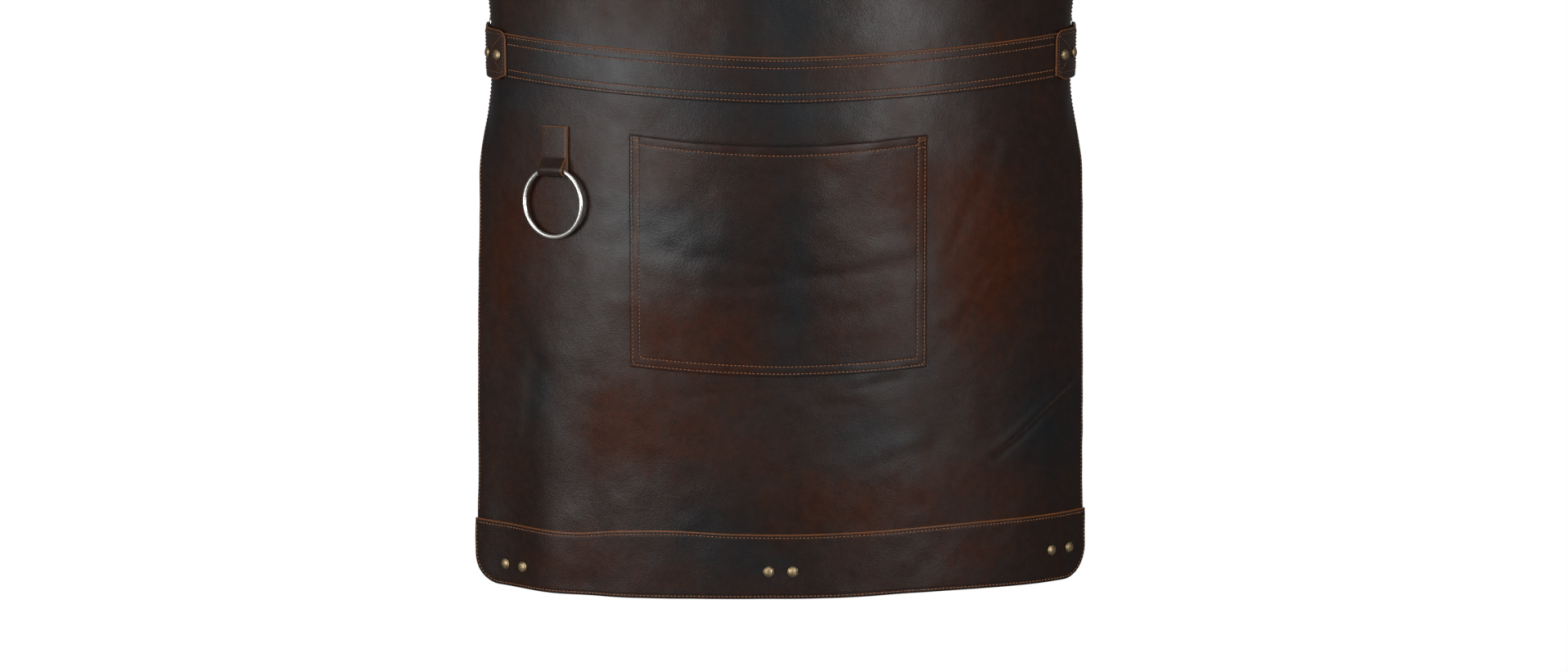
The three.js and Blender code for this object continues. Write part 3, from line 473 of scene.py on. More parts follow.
# A full width layer from low to high. seams are the heights of the rows sewn across it, sideRows how far rows
# run in from its sides. highEdge moves its upper edge, and wear rubs that edge back to the tan.
def bodyLayer(name, low, high, h, thickness, step, seams=(), sideRows=(), highEdge=None, wear=0):
    rowsNear = [*(low + edgeLines), *(high - edgeLines)]
    for seam in seams:
        rowsNear += [seam + away for away in acrossSeam]
    if low < hide["hemCorner"]:
        rowsNear += [hide["hemCorner"] * (1 - math.cos(math.radians(turn))) for turn in range(6, 91, 6)]
    up = spacedLines(low, high, step, rowsNear)
    sideLines = [*(1 - edgeLines / hide["halfWidth"])]
    for sideRow in sideRows:
        sideLines += [1 - (sideRow + away) / hide["halfWidth"] for away in acrossRow]
    share = spacedLines(-hide["halfWidth"], hide["halfWidth"], step) / hide["halfWidth"]
    share = np.unique(np.round([*share, *sideLines, *(-line for line in sideLines)], 6))
    half = halfWidthAt(up)[:, None]
    u = share[None, :] * half
    flatUp = np.broadcast_to(up[:, None], u.shape)
    rise = (flatUp - low) / (high - low)
    v = flatUp + (highEdge(u) * rise if highEdge else 0)
    fromSide = half - np.abs(u)
    fromEdge = np.minimum(np.minimum(flatUp - low, high - flatUp), fromSide)
    sewn = np.zeros_like(fromEdge)
    for seam in seams:
        sewn = np.maximum(sewn, hump(flatUp, seam, 0.9))
    for sideRow in sideRows:
        sewn = np.maximum(sewn, hump(fromSide, sideRow, 0.9))
    top = h + thickness - lostHeight(fromEdge, sewn, u)
    # the finish mark holds rubbed and burnished patches and painted shade down the middle
    marks = {
        "rub": rubAndShadeAt(u, v),
        # fold paling: pull-up lightening and a painted highlight
        "crease": foldShape(u, v)[1] * (0.8 + 0.5 * heightNoise(u / 4, v / 4, 8)),
        "edge": hump(high - flatUp, 0, wear) if wear else np.zeros_like(fromEdge),
    }
    edges = [dyedCut, tanCut if wear else dyedCut]
    return slab(name, onBody(u, v, top), onBody(u, v, h), [panelHide, flesh, *edges], marks)


# Stitching: one arched thread for each stitch of each row. A row is its points and the normals there.
def stitchMesh(name, rows, body, thread=tanThread):
    stations = np.array([-0.5, -0.4, -0.2, 0.0, 0.2, 0.4, 0.5]) * stitch["share"]
    sizes = np.array([0.45, 0.85, 1.0, 1.0, 1.0, 0.85, 0.45]) * stitch["radius"] * mm
    arch = np.array([-0.5, -0.12, 0.1, 0.16, 0.1, -0.12, -0.5]) * mm
    sides = stitch["sides"]
    turns = np.arange(sides) * 2 * np.pi / sides
    vertices = []
    for points, normals in rows:
        middle = (points[:-1] + points[1:]) / 2
        run = points[1:] - points[:-1]
        along = run / np.linalg.norm(run, axis=1, keepdims=True)
        out = (normals[:-1] + normals[1:]) / 2
        out = out - np.sum(out * along, axis=1, keepdims=True) * along
        out /= np.linalg.norm(out, axis=1, keepdims=True)
        across = np.cross(along, out)
        centres = middle[:, None] + run[:, None] * stations[:, None] + out[:, None] * arch[:, None]
        spokes = across[:, None] * np.cos(turns)[:, None] + out[:, None] * np.sin(turns)[:, None]
        vertices.append((centres[:, :, None] + spokes[:, None] * sizes[:, None, None]).reshape(-1, 3))
    vertices = np.concatenate(vertices)
    size = len(stations) * sides
    count = len(vertices) // size
    oneStitch = []
    for s in range(len(stations) - 1):
        for i in range(sides):
            after = (i + 1) % sides
            oneStitch.append((s * sides + i, s * sides + after, (s + 1) * sides + after, (s + 1) * sides + i))
    quads = (np.arange(count)[:, None, None] * size + np.array(oneStitch)[None]).reshape(-1, 4)
    startCap = np.arange(count)[:, None] * size + np.arange(sides - 1, -1, -1)[None]
    endCap = np.arange(count)[:, None] * size + size - sides + np.arange(sides)[None]
    piece = meshObject(name, vertices, quads.tolist() + startCap.tolist() + endCap.tolist(), [thread])
    return finishPiece(piece, body, "panel_leather", angle=60)


def distanceAlong(points):
    return np.concatenate([[0], np.cumsum(np.linalg.norm(np.diff(points, axis=0), axis=1))])


# Points one stitch apart on a path of (across, up) corners, at h above the panels.
def bodyRow(path, h):
    corners = np.asarray(path, float)
    fine = np.linspace(0, len(corners) - 1, 14 * len(corners) + 30)
    u = np.interp(fine, np.arange(len(corners)), corners[:, 0])
    v = np.interp(fine, np.arange(len(corners)), corners[:, 1])
    reached = distanceAlong(onBody(u, v, h))
    count = max(1, round(reached[-1] / (stitch["pitch"] * mm)))
    even = np.interp(np.linspace(0, reached[-1], count + 1), reached, np.arange(len(u)))
    u, v = np.interp(even, np.arange(len(u)), u), np.interp(even, np.arange(len(v)), v)
    return onBody(u, v, h), bodyNormal(u, v)


def acrossPath(reach, upAt):
    u = np.linspace(-reach, reach, max(3, int(2 * reach / 6)))
    return np.stack([u, upAt(u)], axis=1)


def levelRow(reach, up, h):
    return bodyRow(acrossPath(reach, lambda u: np.full_like(u, up)), h)


# Panels, bands and pocket.
panelStep = 3.4
waistBand = {"height": 42, "thickness": 2.2, "rows": (2.3, 8.3, 32.2, 39), "rowEnds": 275}
hemBand = {"height": 61, "thickness": 2.2, "topRow": 3, "edgeRow": 2.6}
bandLow = hide["seam"] - waistBand["height"] / 2
bandHigh = hide["seam"] + waistBand["height"] / 2
skirtTop = hide["seam"] - hide["seamGap"] / 2
bibBottom = hide["seam"] + hide["seamGap"] / 2


# The hem band was cut by hand: its top edge dips at one side and swells twice.
def hemTopEdge(u):
    return 2.4 * hump(u, -105, 45) + 1.2 * hump(u, 215, 70) - 4.3 * smooth((-145 - u) / 60)


skirt = bodyLayer(
    "skirt", 0, skirtTop, -hide["thickness"], hide["thickness"], panelStep, sideRows=[hemBand["edgeRow"]])
bib = bodyLayer(
    "bib", bibBottom, hide["bibTop"], -hide["thickness"], hide["thickness"], panelStep, sideRows=[3])
belt = bodyLayer(
    "waistBand", bandLow, bandHigh, hide["layerGap"], waistBand["thickness"], 1.9,
    seams=[bandLow + row for row in waistBand["rows"]], wear=0.75)
hem = bodyLayer(
    "hemBand", 0, hemBand["height"], hide["layerGap"], hemBand["thickness"], 1.9,
    seams=[hemBand["edgeRow"] + 0.9, hemBand["height"] - hemBand["topRow"]], sideRows=[hemBand["edgeRow"]],
    highEdge=hemTopEdge, wear=0.75)
finishPiece(skirt, "apron", "panel_leather", "skirt_panel")
finishPiece(bib, "apron", "panel_leather", "bib_panel")
finishPiece(belt, "apron", "panel_leather", "waist_band")
finishPiece(hem, "apron", "panel_leather", "hem_band")

pocket = {
    "halfWidth": 139, "bottom": 209, "height": 216, "offset": -2.5, "thickness": 2.2, "gape": 12,
    "mouthDip": 3, "rows": (2.7, 9.5), "mouthRow": 8,
}


# The pocket stands away from the skirt towards its mouth. x is across from its middle, rise is 0 to 1.
def pocketPoint(x, rise, h):
    middle = 1 - (x / pocket["halfWidth"]) ** 2
    gape = pocket["gape"] * rise ** 1.2 * middle + 1.2 * np.sin(x / 21) * rise ** 2 * middle
    y = pocket["height"] * rise
    for up, deep, wide in ((88, 0.9, 7), (104, 0.7, 8), (61, 0.4, 9), (150, 0.4, 10)):
        sag = up + 7 * np.sin(x / 46 + up)
        uneven = 0.35 + 0.65 * heightNoise(x / 33 + up, y * 0 + 3, 12)
        gape = gape - deep * hump(y, sag, wide) * middle * uneven
    v = pocket["bottom"] + y - pocket["mouthDip"] * rise * middle
    return onBody(x + pocket["offset"], v, hide["layerGap"] + gape + h)


def pocketLayer():
    half, height = pocket["halfWidth"], pocket["height"]
    sewn = [line + away for line in pocket["rows"] for away in acrossRow]
    mouth = height - pocket["mouthRow"]
    up = spacedLines(0, height, 2.4, [
        *edgeLines, *(height - edgeLines), *sewn, mouth - 0.7, mouth, mouth + 0.7])
    inward = np.array([*edgeLines, *sewn])
    across = spacedLines(-half, half, 2.4, [*(inward - half), *(half - inward)])
    x, y = np.meshgrid(across, up)
    fromSide = half - np.abs(x)
    fromEdge = np.minimum(np.minimum(y, height - y), fromSide)
    inRows = np.minimum(fromSide, y)
    stitched = np.maximum(hump(inRows, pocket["rows"][0], 0.9), hump(inRows, pocket["rows"][1], 0.9))
    stitched = np.maximum(stitched, hump(y, mouth, 0.9) * (fromSide > pocket["rows"][1] - 1))
    top = pocket["thickness"] - lostHeight(fromEdge, stitched, x + y)
    u, v = x + pocket["offset"], y + pocket["bottom"]
    # the finish mark holds painted shade down the middle as well as rub and burnish
    marks = {"rub": 0.22 + rubAndShadeAt(u, v), "crease": np.zeros_like(u), "edge": np.zeros_like(u)}
    outer, inner = pocketPoint(x, y / height, top), pocketPoint(x, y / height, 0)
    return slab("patchPocket", outer, inner, [panelHide, flesh, dyedCut], marks)


patchPocket = finishPiece(pocketLayer(), "apron", "panel_leather", "pocket")
print("panels, bands and pocket cut")

# Seams of the body.
bandTop = hide["layerGap"] + waistBand["thickness"]
hemTop = hide["layerGap"] + hemBand["thickness"]
bandRows = [levelRow(waistBand["rowEnds"], bandLow + row, bandTop + stitch["lift"])
            for row in waistBand["rows"]]
stitchMesh("waistBandStitching", bandRows, "apron")

edgeRow = hemBand["edgeRow"]
reach = hide["halfWidth"] - edgeRow
turnRadius = hide["hemCorner"] - edgeRow
cornerTurns = np.radians(np.arange(0, 91, 10))
rightTurn = [(reach - turnRadius * (1 - math.cos(t)), hide["hemCorner"] - turnRadius * math.sin(t))
             for t in cornerTurns]
perimeter = [(reach, hemBand["height"] - 6), *rightTurn, *[(-u, v) for u, v in reversed(rightTurn)],
             (-reach, hemBand["height"] - 10)]
topRow = acrossPath(reach, lambda u: hemBand["height"] - hemBand["topRow"] + hemTopEdge(u))
hemRows = [bodyRow(path, hemTop + stitch["lift"]) for path in (perimeter, topRow)]
stitchMesh("hemBandStitching", hemRows, "apron")
sideSeams = []
for side in (-1, 1):
    up = np.linspace(hemBand["height"] + 2, bandLow - 2, 60)
    sideSeams.append(bodyRow(np.stack([np.full_like(up, side * reach), up], axis=1), stitch["lift"]))
    up = np.linspace(bandHigh + 6, hide["bibTop"] - 4, 80)
    sideSeams.append(bodyRow(np.stack([side * (halfWidthAt(up) - 3), up], axis=1), stitch["lift"]))
topReach = hide["bibTopHalf"] - 4
sideSeams.append(levelRow(topReach, hide["bibTop"] - 3.2, stitch["lift"]))
stitchMesh("panelEdgeStitching", sideSeams, "apron")


# A row on the pocket from (across, up) corners measured from the middle of its lower edge.
def pocketRow(path):
    corners = np.asarray(path, float)
    fine = np.linspace(0, len(corners) - 1, 60 * (len(corners) - 1) + 1)
    x = np.interp(fine, np.arange(len(corners)), corners[:, 0])
    y = np.interp(fine, np.arange(len(corners)), corners[:, 1])
    reached = distanceAlong(np.stack([x, y], axis=1))
    count = max(1, round(reached[-1] / stitch["pitch"]))
    even = np.interp(np.linspace(0, reached[-1], count + 1), reached, fine)
    x = np.interp(even, np.arange(len(corners)), corners[:, 0])
    y = np.interp(even, np.arange(len(corners)), corners[:, 1])
    points = pocketPoint(x, y / pocket["height"], pocket["thickness"] + stitch["lift"])
    return points, bodyNormal(x + pocket["offset"], y)


pocketSeams = []
for inset in pocket["rows"]:
    side, top = pocket["halfWidth"] - inset, pocket["height"] - 2
    pocketSeams.append(pocketRow([(-side, top), (-side, inset), (side, inset), (side, top)]))
inner, mouth = pocket["halfWidth"] - pocket["rows"][1], pocket["height"] - pocket["mouthRow"]
pocketSeams.append(pocketRow([(-inner, mouth), (inner, mouth)]))
outerEdge = pocket["halfWidth"] - pocket["rows"][0]
for side in (-1, 1):
    for drop in (2.2, 4.6, 11):
        up = pocket["height"] - drop
        pocketSeams.append(pocketRow([(side * outerEdge, up), (side * inner, up)]))
stitchMesh("pocketStitching", pocketSeams, "apron")
print("seams sewn")

# Leather bent along a path of (s, h) points and swept across it, as straps, tabs and loops are.


def arcPoints(centreS, centreH, radius, start, end, steps=18):
    turns = np.radians(np.linspace(start, end, steps + 1))
    return [(centreS + radius * math.cos(t), centreH + radius * math.sin(t)) for t in turns]


def evenPath(points, step, rounds=2):
    points = np.asarray(points, float)
    reached = distanceAlong(points)
    even = np.linspace(0, reached[-1], max(6, int(reached[-1] / step)) + 1)
    path = np.stack([np.interp(even, reached, points[:, i]) for i in (0, 1)], axis=1)
    for _ in range(rounds):
        path[1:-1] = (path[:-2] + 2 * path[1:-1] + path[2:]) / 4
    return path


def pathNormals(path):
    run = np.gradient(path, axis=0)
    run /= np.linalg.norm(run, axis=1, keepdims=True)
    return np.stack([-run[:, 1], run[:, 0]], axis=1)


# place turns (s, w, h) into a point. lowSide and highSide give the strip's edges along the path.
def leatherStrip(name, path, thickness, lowSide, highSide, place, materials, wear=0.9):
    across = np.linspace(0, 1, 9)
    wide = float(np.max(highSide - lowSide))
    edge = edgeLines[:4] / wide
    across = np.unique(np.round([*across, *edge, *(1 - edge)], 6))[:, None]
    w = lowSide + (highSide - lowSide) * across
    fromEdge = np.minimum(w - lowSide, highSide - w)
    along = distanceAlong(path)
    fromEdge = np.minimum(fromEdge, np.minimum(along, along[-1] - along))
    half = thickness / 2 - 0.45 * np.exp(-fromEdge / 0.7)
    normals = pathNormals(path)
    faces = [place(path[:, 0] + side * half * normals[:, 0], w, path[:, 1] + side * half * normals[:, 1])
             for side in (1, -1)]
    marks = {"rub": np.zeros_like(w), "crease": np.zeros_like(w), "edge": hump(fromEdge, 0, wear)}
    return slab(name, faces[0], faces[1], materials, marks)


# A row of stitches on a strip, at w across and height above the middle of its path.
def stripRow(path, w, height, place):
    reached = distanceAlong(path)
    count = max(2, round(reached[-1] / stitch["pitch"]))
    even = np.linspace(0, reached[-1], count + 1)
    normals = pathNormals(path)
    s, h, ns, nh = (np.interp(even, reached, values) for values in (*path.T, *normals.T))
    w = np.broadcast_to(np.interp(even, reached, np.broadcast_to(w, reached.shape)), even.shape)
    points = place(s + ns * height, w, h + nh * height)
    outward = place(s + ns * (height + 1), w, h + nh * (height + 1)) - points
    return points, outward / np.linalg.norm(outward, axis=1, keepdims=True)


wire = 4  # rings and buckle frames
strapMaterials = [strapHide, flesh, dyedCut]
tabMaterials = [strapHide, flesh, tanCut]

# Loop for the tool ring: one strip, folded up round the ring and sewn with a box and a cross.
ringLoop = {
    "across": -218, "top": 424, "length": 47, "sewn": 30, "width": 26.5, "leaf": 1.9, "play": 1.2, "row": 2.6,
}
toolRing = {"inner": 60, "segments": 112, "swell": 0.22}
ringRadius = toolRing["inner"] / 2 + wire / 2
wireRise = (ringRadius - math.sqrt(ringRadius ** 2 - (ringLoop["width"] / 2) ** 2)) / 2
cavity = wire / 2 + wireRise + ringLoop["play"]
loopBack = hide["layerGap"] + ringLoop["leaf"] / 2
cavityMiddle = loopBack + ringLoop["leaf"] / 2 + cavity
cavityHeight = ringLoop["top"] - ringLoop["length"] + ringLoop["leaf"] + cavity
loopFront = loopBack + ringLoop["leaf"] + hide["layerGap"]
sewnFrom = ringLoop["top"] - ringLoop["sewn"]


def onLoop(s, w, h):
    points = onBody(ringLoop["across"] + w, s, h)
    points[..., 2] = onBody(ringLoop["across"], s, h)[..., 2]
    return points


loopPath = evenPath([
    (ringLoop["top"], loopBack), (sewnFrom, loopBack),
    *arcPoints(cavityHeight, cavityMiddle, cavity + ringLoop["leaf"] / 2, 270, 55),
    (sewnFrom, loopFront + 0.8), (sewnFrom + 5, loopFront), (ringLoop["top"], loopFront),
], 0.9)
loopHalf = np.full(len(loopPath), ringLoop["width"] / 2)
loop = leatherStrip(
    "toolRingLoop", loopPath, ringLoop["leaf"], -loopHalf, loopHalf, onLoop, tabMaterials, 0.5)
finishPiece(loop, "apron", "strap_leather", "ring_loop")


# Straight rows between (w, s) points on a face of height h.
def facedRow(start, end, h, place):
    count = max(2, round(math.dist(start, end) / stitch["pitch"] * 1.15))
    w, s = np.linspace(start[0], end[0], count + 1), np.linspace(start[1], end[1], count + 1)
    points = place(s, w, np.full_like(s, h))
    outward = place(s, w, np.full_like(s, h + 1)) - points
    return points, outward / np.linalg.norm(outward, axis=1, keepdims=True)


def boxAndCross(left, right, low, high, h, place):
    corners = [(left, low), (left, high), (right, high), (right, low)]
    rows = [facedRow(corners[i], corners[(i + 1) % 4], h, place) for i in range(4)]
    rows.append(facedRow((left + 1, low + 1), (right - 1, high - 1), h, place))
    rows.append(facedRow((left + 1, high - 1), (right - 1, low + 1), h, place))
    return rows


side = ringLoop["width"] / 2 - ringLoop["row"]
loopFace = loopFront + ringLoop["leaf"] / 2 + stitch["lift"]
loopRows = boxAndCross(-side, side, sewnFrom + 5, ringLoop["top"] - 3, loopFace, onLoop)
stitchMesh("toolRingLoopStitching", loopRows, "apron", brownThread)

# Side tabs, wrapped round the panel's edge and the side ring's bar. s runs outwards from the middle.
sideTab = {"front": 44, "back": 47, "reach": 18, "height": 47, "leaf": 2, "corner": 9, "slant": 5, "row": 3}
tabInner = hide["layerGap"] * 2 + waistBand["thickness"]
tabBackInner = -hide["thickness"] - hide["layerGap"]
tabPivot = hide["halfWidth"] + sideTab["reach"]
tabMiddle = (tabInner + tabBackInner) / 2
tabRadius = (tabInner - tabBackInner + sideTab["leaf"]) / 2
tabStart = hide["halfWidth"] - sideTab["front"]


def sideTabPiece(name, side):
    place = lambda s, w, h: onBody(side * s, hide["seam"] + w, h)
    leaf = sideTab["leaf"] / 2
    path = evenPath([
        (tabStart, tabInner + leaf), (hide["halfWidth"], tabInner + leaf), (tabPivot, tabMiddle + tabRadius),
        *arcPoints(tabPivot, tabMiddle, tabRadius, 85, -85), (tabPivot, tabMiddle - tabRadius),
        (hide["halfWidth"], tabBackInner - leaf), (hide["halfWidth"] - sideTab["back"], tabBackInner - leaf),
    ], 0.8)
    reached = distanceAlong(path)
    corner = np.clip(sideTab["corner"] - reached, 0, sideTab["corner"])
    high = sideTab["height"] / 2 - sideTab["corner"] + np.sqrt(sideTab["corner"] ** 2 - corner ** 2)
    low = -sideTab["height"] / 2 + sideTab["slant"] * smooth(1 - reached / 14)
    tab = leatherStrip(name, path, sideTab["leaf"], low, high, place, tabMaterials, 0.6)
    finishPiece(tab, "apron", "strap_leather", f"side_tab_{'left' if side < 0 else 'right'}")
    half = sideTab["height"] / 2 - sideTab["row"] - 1
    return boxAndCross(-half + 3, half, tabStart + sideTab["row"], hide["halfWidth"] - 2,
                       tabInner + sideTab["leaf"] + stitch["lift"], place)


tabRows = [*sideTabPiece("leftSideTab", -1), *sideTabPiece("rightSideTab", 1)]
stitchMesh("sideTabStitching", tabRows, "apron", brownThread)
print("loop and tabs made")


# Straps. A strap's place is s along its curve, w across it and h outwards from its middle.
def bezier(start, first, second, end):
    return lambda t: (
        (1 - t) ** 3 * start + 3 * (1 - t) ** 2 * t * first + 3 * (1 - t) * t ** 2 * second + t ** 3 * end)


def line(start, end):
    return lambda t: start * (1 - t) + end * t


def strapOnCurve(parts, outwardAt):
    t = np.linspace(0, 1, 401)[:, None]
    points = np.concatenate([parts[0](t)[:1], *(part(t)[1:] for part in parts)])
    reached = distanceAlong(points)
    length = reached[-1]
    even = np.linspace(0, length, len(points) * 2)
    points = np.stack([np.interp(even, reached, points[:, i]) for i in range(3)], axis=1)
    tangents = np.gradient(points, axis=0)
    tangents /= np.linalg.norm(tangents, axis=1, keepdims=True)
    outward = outwardAt(even / length, tangents)
    outward = outward - np.sum(outward * tangents, axis=1, keepdims=True) * tangents
    outward /= np.linalg.norm(outward, axis=1, keepdims=True)

    def frameAt(s):
        inside = np.clip(s, 0, length)
        at = lambda values: np.stack([np.interp(inside, even, values[:, i]) for i in range(3)], axis=-1)
        tangent, out = at(tangents), at(outward)
        return at(points) + tangent * (s - inside)[..., None], tangent, out, np.cross(tangent, out)

    def place(s, w, h):
        s, w, h = np.broadcast_arrays(np.asarray(s, float), np.asarray(w, float), np.asarray(h, float))
        point, tangent, out, across = frameAt(s)
        return (point + across * w[..., None] + out * h[..., None]) * mm + bodyOrigin

    def matrixAt(s, h):
        point, tangent, out, across = frameAt(np.array(float(s)))
        matrix = np.eye(4)
        matrix[:3, 0], matrix[:3, 1], matrix[:3, 2] = tangent, -across, out
        matrix[:3, 3] = (point + out * h) * mm + bodyOrigin
        return matrix

    return {"length": length, "place": place, "matrixAt": matrixAt}


def bodyFrame(u, v, h, shaped=False):
    turn = float(turnAt(u, v)) * (-1 if u < 0 else 1)
    matrix = np.eye(4)
    matrix[:3, 0] = math.cos(turn), math.sin(turn), 0
    matrix[:3, 1] = 0, 0, 1
    matrix[:3, 2] = math.sin(turn), -math.cos(turn), 0
    matrix[:3, 3] = onBody(u, v, h, shaped)
    return matrix


def localPoint(matrix):
    return (matrix[:3, 3] - bodyOrigin) / mm


mirror = np.array([-1, 1, 1])
waistStrap = {
    "width": 38, "thickness": 3, "endStraight": 52, "backStraight": 180, "depth": 118, "tongue": 105,
    "fold": 42,
}
neckStrap = {
    "width": 25, "thickness": 2.5, "across": 124, "overlap": 45, "rise": 125, "backReach": 150, "height": 112,
    "hangStraight": 40, "hangTilt": 50, "tongue": 74, "fold": 38,
}
buckle = {
    "span": 26, "barClearance": 0.6, "sideClearance": 1.3, "slotWidth": 4.6, "corner": 5, "firstHole": 22,
    "holeSpacing": 20, "holeRadius": 2,
}
sideRing = {"span": 24, "clearance": 1.5, "play": 1.7, "corner": 5}

sideFrame = bodyFrame(tabPivot, hide["seam"], tabMiddle)
ringBar = -(waistStrap["thickness"] + hide["layerGap"]) / 2
farBar = localPoint(sideFrame) + sideRing["span"] * sideFrame[:3, 0] - ringBar * sideFrame[:3, 2]
strapTurn = farBar + waistStrap["endStraight"] * sideFrame[:3, 0]
backEdge = np.array([waistStrap["backStraight"] / 2, strapTurn[1] + waistStrap["depth"], strapTurn[2]])
bendHandle = strapTurn + sideFrame[:3, 0] * waistStrap["depth"] * 0.62
backHandle = backEdge + np.array([waistStrap["depth"] * 0.62 * 1.3, 0, 0])
waist = strapOnCurve([
    line(farBar * mirror, strapTurn * mirror),
    bezier(strapTurn * mirror, bendHandle * mirror, backHandle * mirror, backEdge * mirror),
    line(backEdge * mirror, backEdge), bezier(backEdge, backHandle, bendHandle, strapTurn),
    line(strapTurn, farBar),
], lambda share, tangents: np.cross(np.array([0, 0, 1]), tangents))

strapStart = hide["bibTop"] - neckStrap["overlap"]
cornerFrame = bodyFrame(neckStrap["across"], strapStart, hide["layerGap"] + neckStrap["thickness"] / 2)
cornerStart, cornerOutward = localPoint(cornerFrame), cornerFrame[:3, 2]
straightTop = cornerStart + np.array([0, 0, neckStrap["overlap"] + neckStrap["rise"]])
hangEdge = straightTop + np.array([0, neckStrap["backReach"], neckStrap["height"]])
hangEdge[0] = neckStrap["hangStraight"] / 2
shoulderHandle = straightTop + np.array([0, 0, neckStrap["height"] * 0.65])
neckHandle = hangEdge + np.array([neckStrap["across"] * 0.5, 0, 0])
hangTilt = math.radians(neckStrap["hangTilt"])


def neckOutward(share, tangents):
    straight = (neckStrap["overlap"] + neckStrap["rise"]) / neckLength
    hang = neckStrap["hangStraight"] / 2 / neckLength
    blend = smooth((np.minimum(share, 1 - share) - straight) / (0.5 - straight - hang))[:, None]
    side = np.where(share < 0.5, -1.0, 1.0)[:, None]
    start = side * [cornerOutward[0], 0, 0] + [0, cornerOutward[1], 0]
    shoulder = side * [0.6, 0, 0] + [0, 0, 0.8]
    hanging = np.broadcast_to([0, math.cos(hangTilt), math.sin(hangTilt)], shoulder.shape)
    rising = start + (shoulder - start) * np.minimum(blend * 2, 1)
    return np.where(blend < 0.5, rising, shoulder + (hanging - shoulder) * (blend * 2 - 1))


neckParts = [
    line(cornerStart * mirror, straightTop * mirror),
    bezier(straightTop * mirror, shoulderHandle * mirror, neckHandle * mirror, hangEdge * mirror),
    line(hangEdge * mirror, hangEdge), bezier(hangEdge, neckHandle, shoulderHandle, straightTop),
    line(straightTop, cornerStart),
]
neckLength = strapOnCurve(neckParts, lambda share, tangents: np.ones_like(tangents))["length"]
neck = strapOnCurve(neckParts, neckOutward)


def selectWhere(piece, chosen):
    vertices = piece.data.vertices
    for vertex in vertices:
        vertex.select = bool(chosen(vertex.co))
    for part in (*piece.data.edges, *piece.data.polygons):
        part.select = all(vertices[i].select for i in part.vertices)


def roundEdges(piece, width, segments, material):
    modifier = piece.modifiers.new("rounded", "BEVEL")
    modifier.width = width * mm
    modifier.segments = segments
    modifier.limit_method = "ANGLE"
    modifier.angle_limit = math.radians(60)
    bpy.ops.object.modifier_apply(modifier=modifier.name)
    piece.data.materials.append(material)


def cutWith(piece, cutters):
    for cutter in cutters:
        onlySelect(piece)
        modifier = piece.modifiers.new("cut", "BOOLEAN")
        modifier.operation = "DIFFERENCE"
        modifier.object = cutter
        modifier.solver = "EXACT"
        bpy.ops.object.modifier_apply(modifier=modifier.name)
        bpy.data.objects.remove(cutter)
    return piece


def placed(piece, matrix):
    onlySelect(piece)
    piece.matrix_world = Matrix(matrix.tolist()) @ piece.matrix_world
    bpy.ops.object.transform_apply(location=True, rotation=True, scale=True)
    return piece


# A slot with round ends for the prong, long way along the strap.
def slotCutter(length, width, start, matrix):
    bpy.ops.object.select_all(action="DESELECT")
    bpy.ops.mesh.primitive_cube_add(size=1, location=((start + length / 2) * mm, 0, 0))
    cutter = bpy.context.object
    cutter.scale = (length * mm, width * mm, 30 * mm)
    bpy.ops.object.transform_apply(location=True, rotation=True, scale=True)
    selectWhere(cutter, lambda place: False)
    for edge in cutter.data.edges:
        ends = [cutter.data.vertices[i].co for i in edge.vertices]
        edge.select = abs(ends[0].z - ends[1].z) > 1 * mm
    bpy.ops.object.mode_set(mode="EDIT")
    bpy.ops.mesh.bevel(offset=width * 0.47 * mm, segments=6)
    bpy.ops.object.mode_set(mode="OBJECT")
    return placed(cutter, matrix)


def holeCutter(radius, matrix):
    bpy.ops.object.select_all(action="DESELECT")
    bpy.ops.mesh.primitive_cylinder_add(vertices=24, radius=radius * mm, depth=16 * mm)
    return placed(bpy.context.object, matrix)


# Bent wire: a torus in the X-Y plane, its four quarters moved apart so that straight bars join them. One bar
# lies on the Y axis and the other at x = span.
def wireRectangle(name, span, innerWidth, corner, matrix):
    bend = corner - wire / 2
    segments = 40
    bpy.ops.object.select_all(action="DESELECT")
    bpy.ops.mesh.primitive_torus_add(
        major_radius=bend * mm, minor_radius=wire / 2 * mm, major_segments=segments, minor_segments=18,
        rotation=(0, 0, math.pi / segments))
    piece = bpy.context.object
    piece.name = name
    bpy.ops.object.transform_apply(location=False, rotation=True, scale=False)
    longer = (span - 2 * bend) * mm
    wider = (innerWidth + wire - 2 * bend) * mm
    for axis, move in enumerate([(longer, 0, 0), (0, wider, 0)]):
        selectWhere(piece, lambda place: place[axis] > 0)
        bpy.ops.object.mode_set(mode="EDIT")
        bpy.ops.transform.translate(value=move)
        bpy.ops.object.mode_set(mode="OBJECT")
    piece.location = (bend * mm, -(innerWidth / 2 + wire / 2 - bend) * mm, 0)
    bpy.ops.object.transform_apply(location=True, rotation=False, scale=False)
    piece.data.materials.append(steel)
    return placed(piece, matrix)


prongWire = {"width": 3, "thickness": 1.6, "eyeTurn": 318, "tip": 0.55}


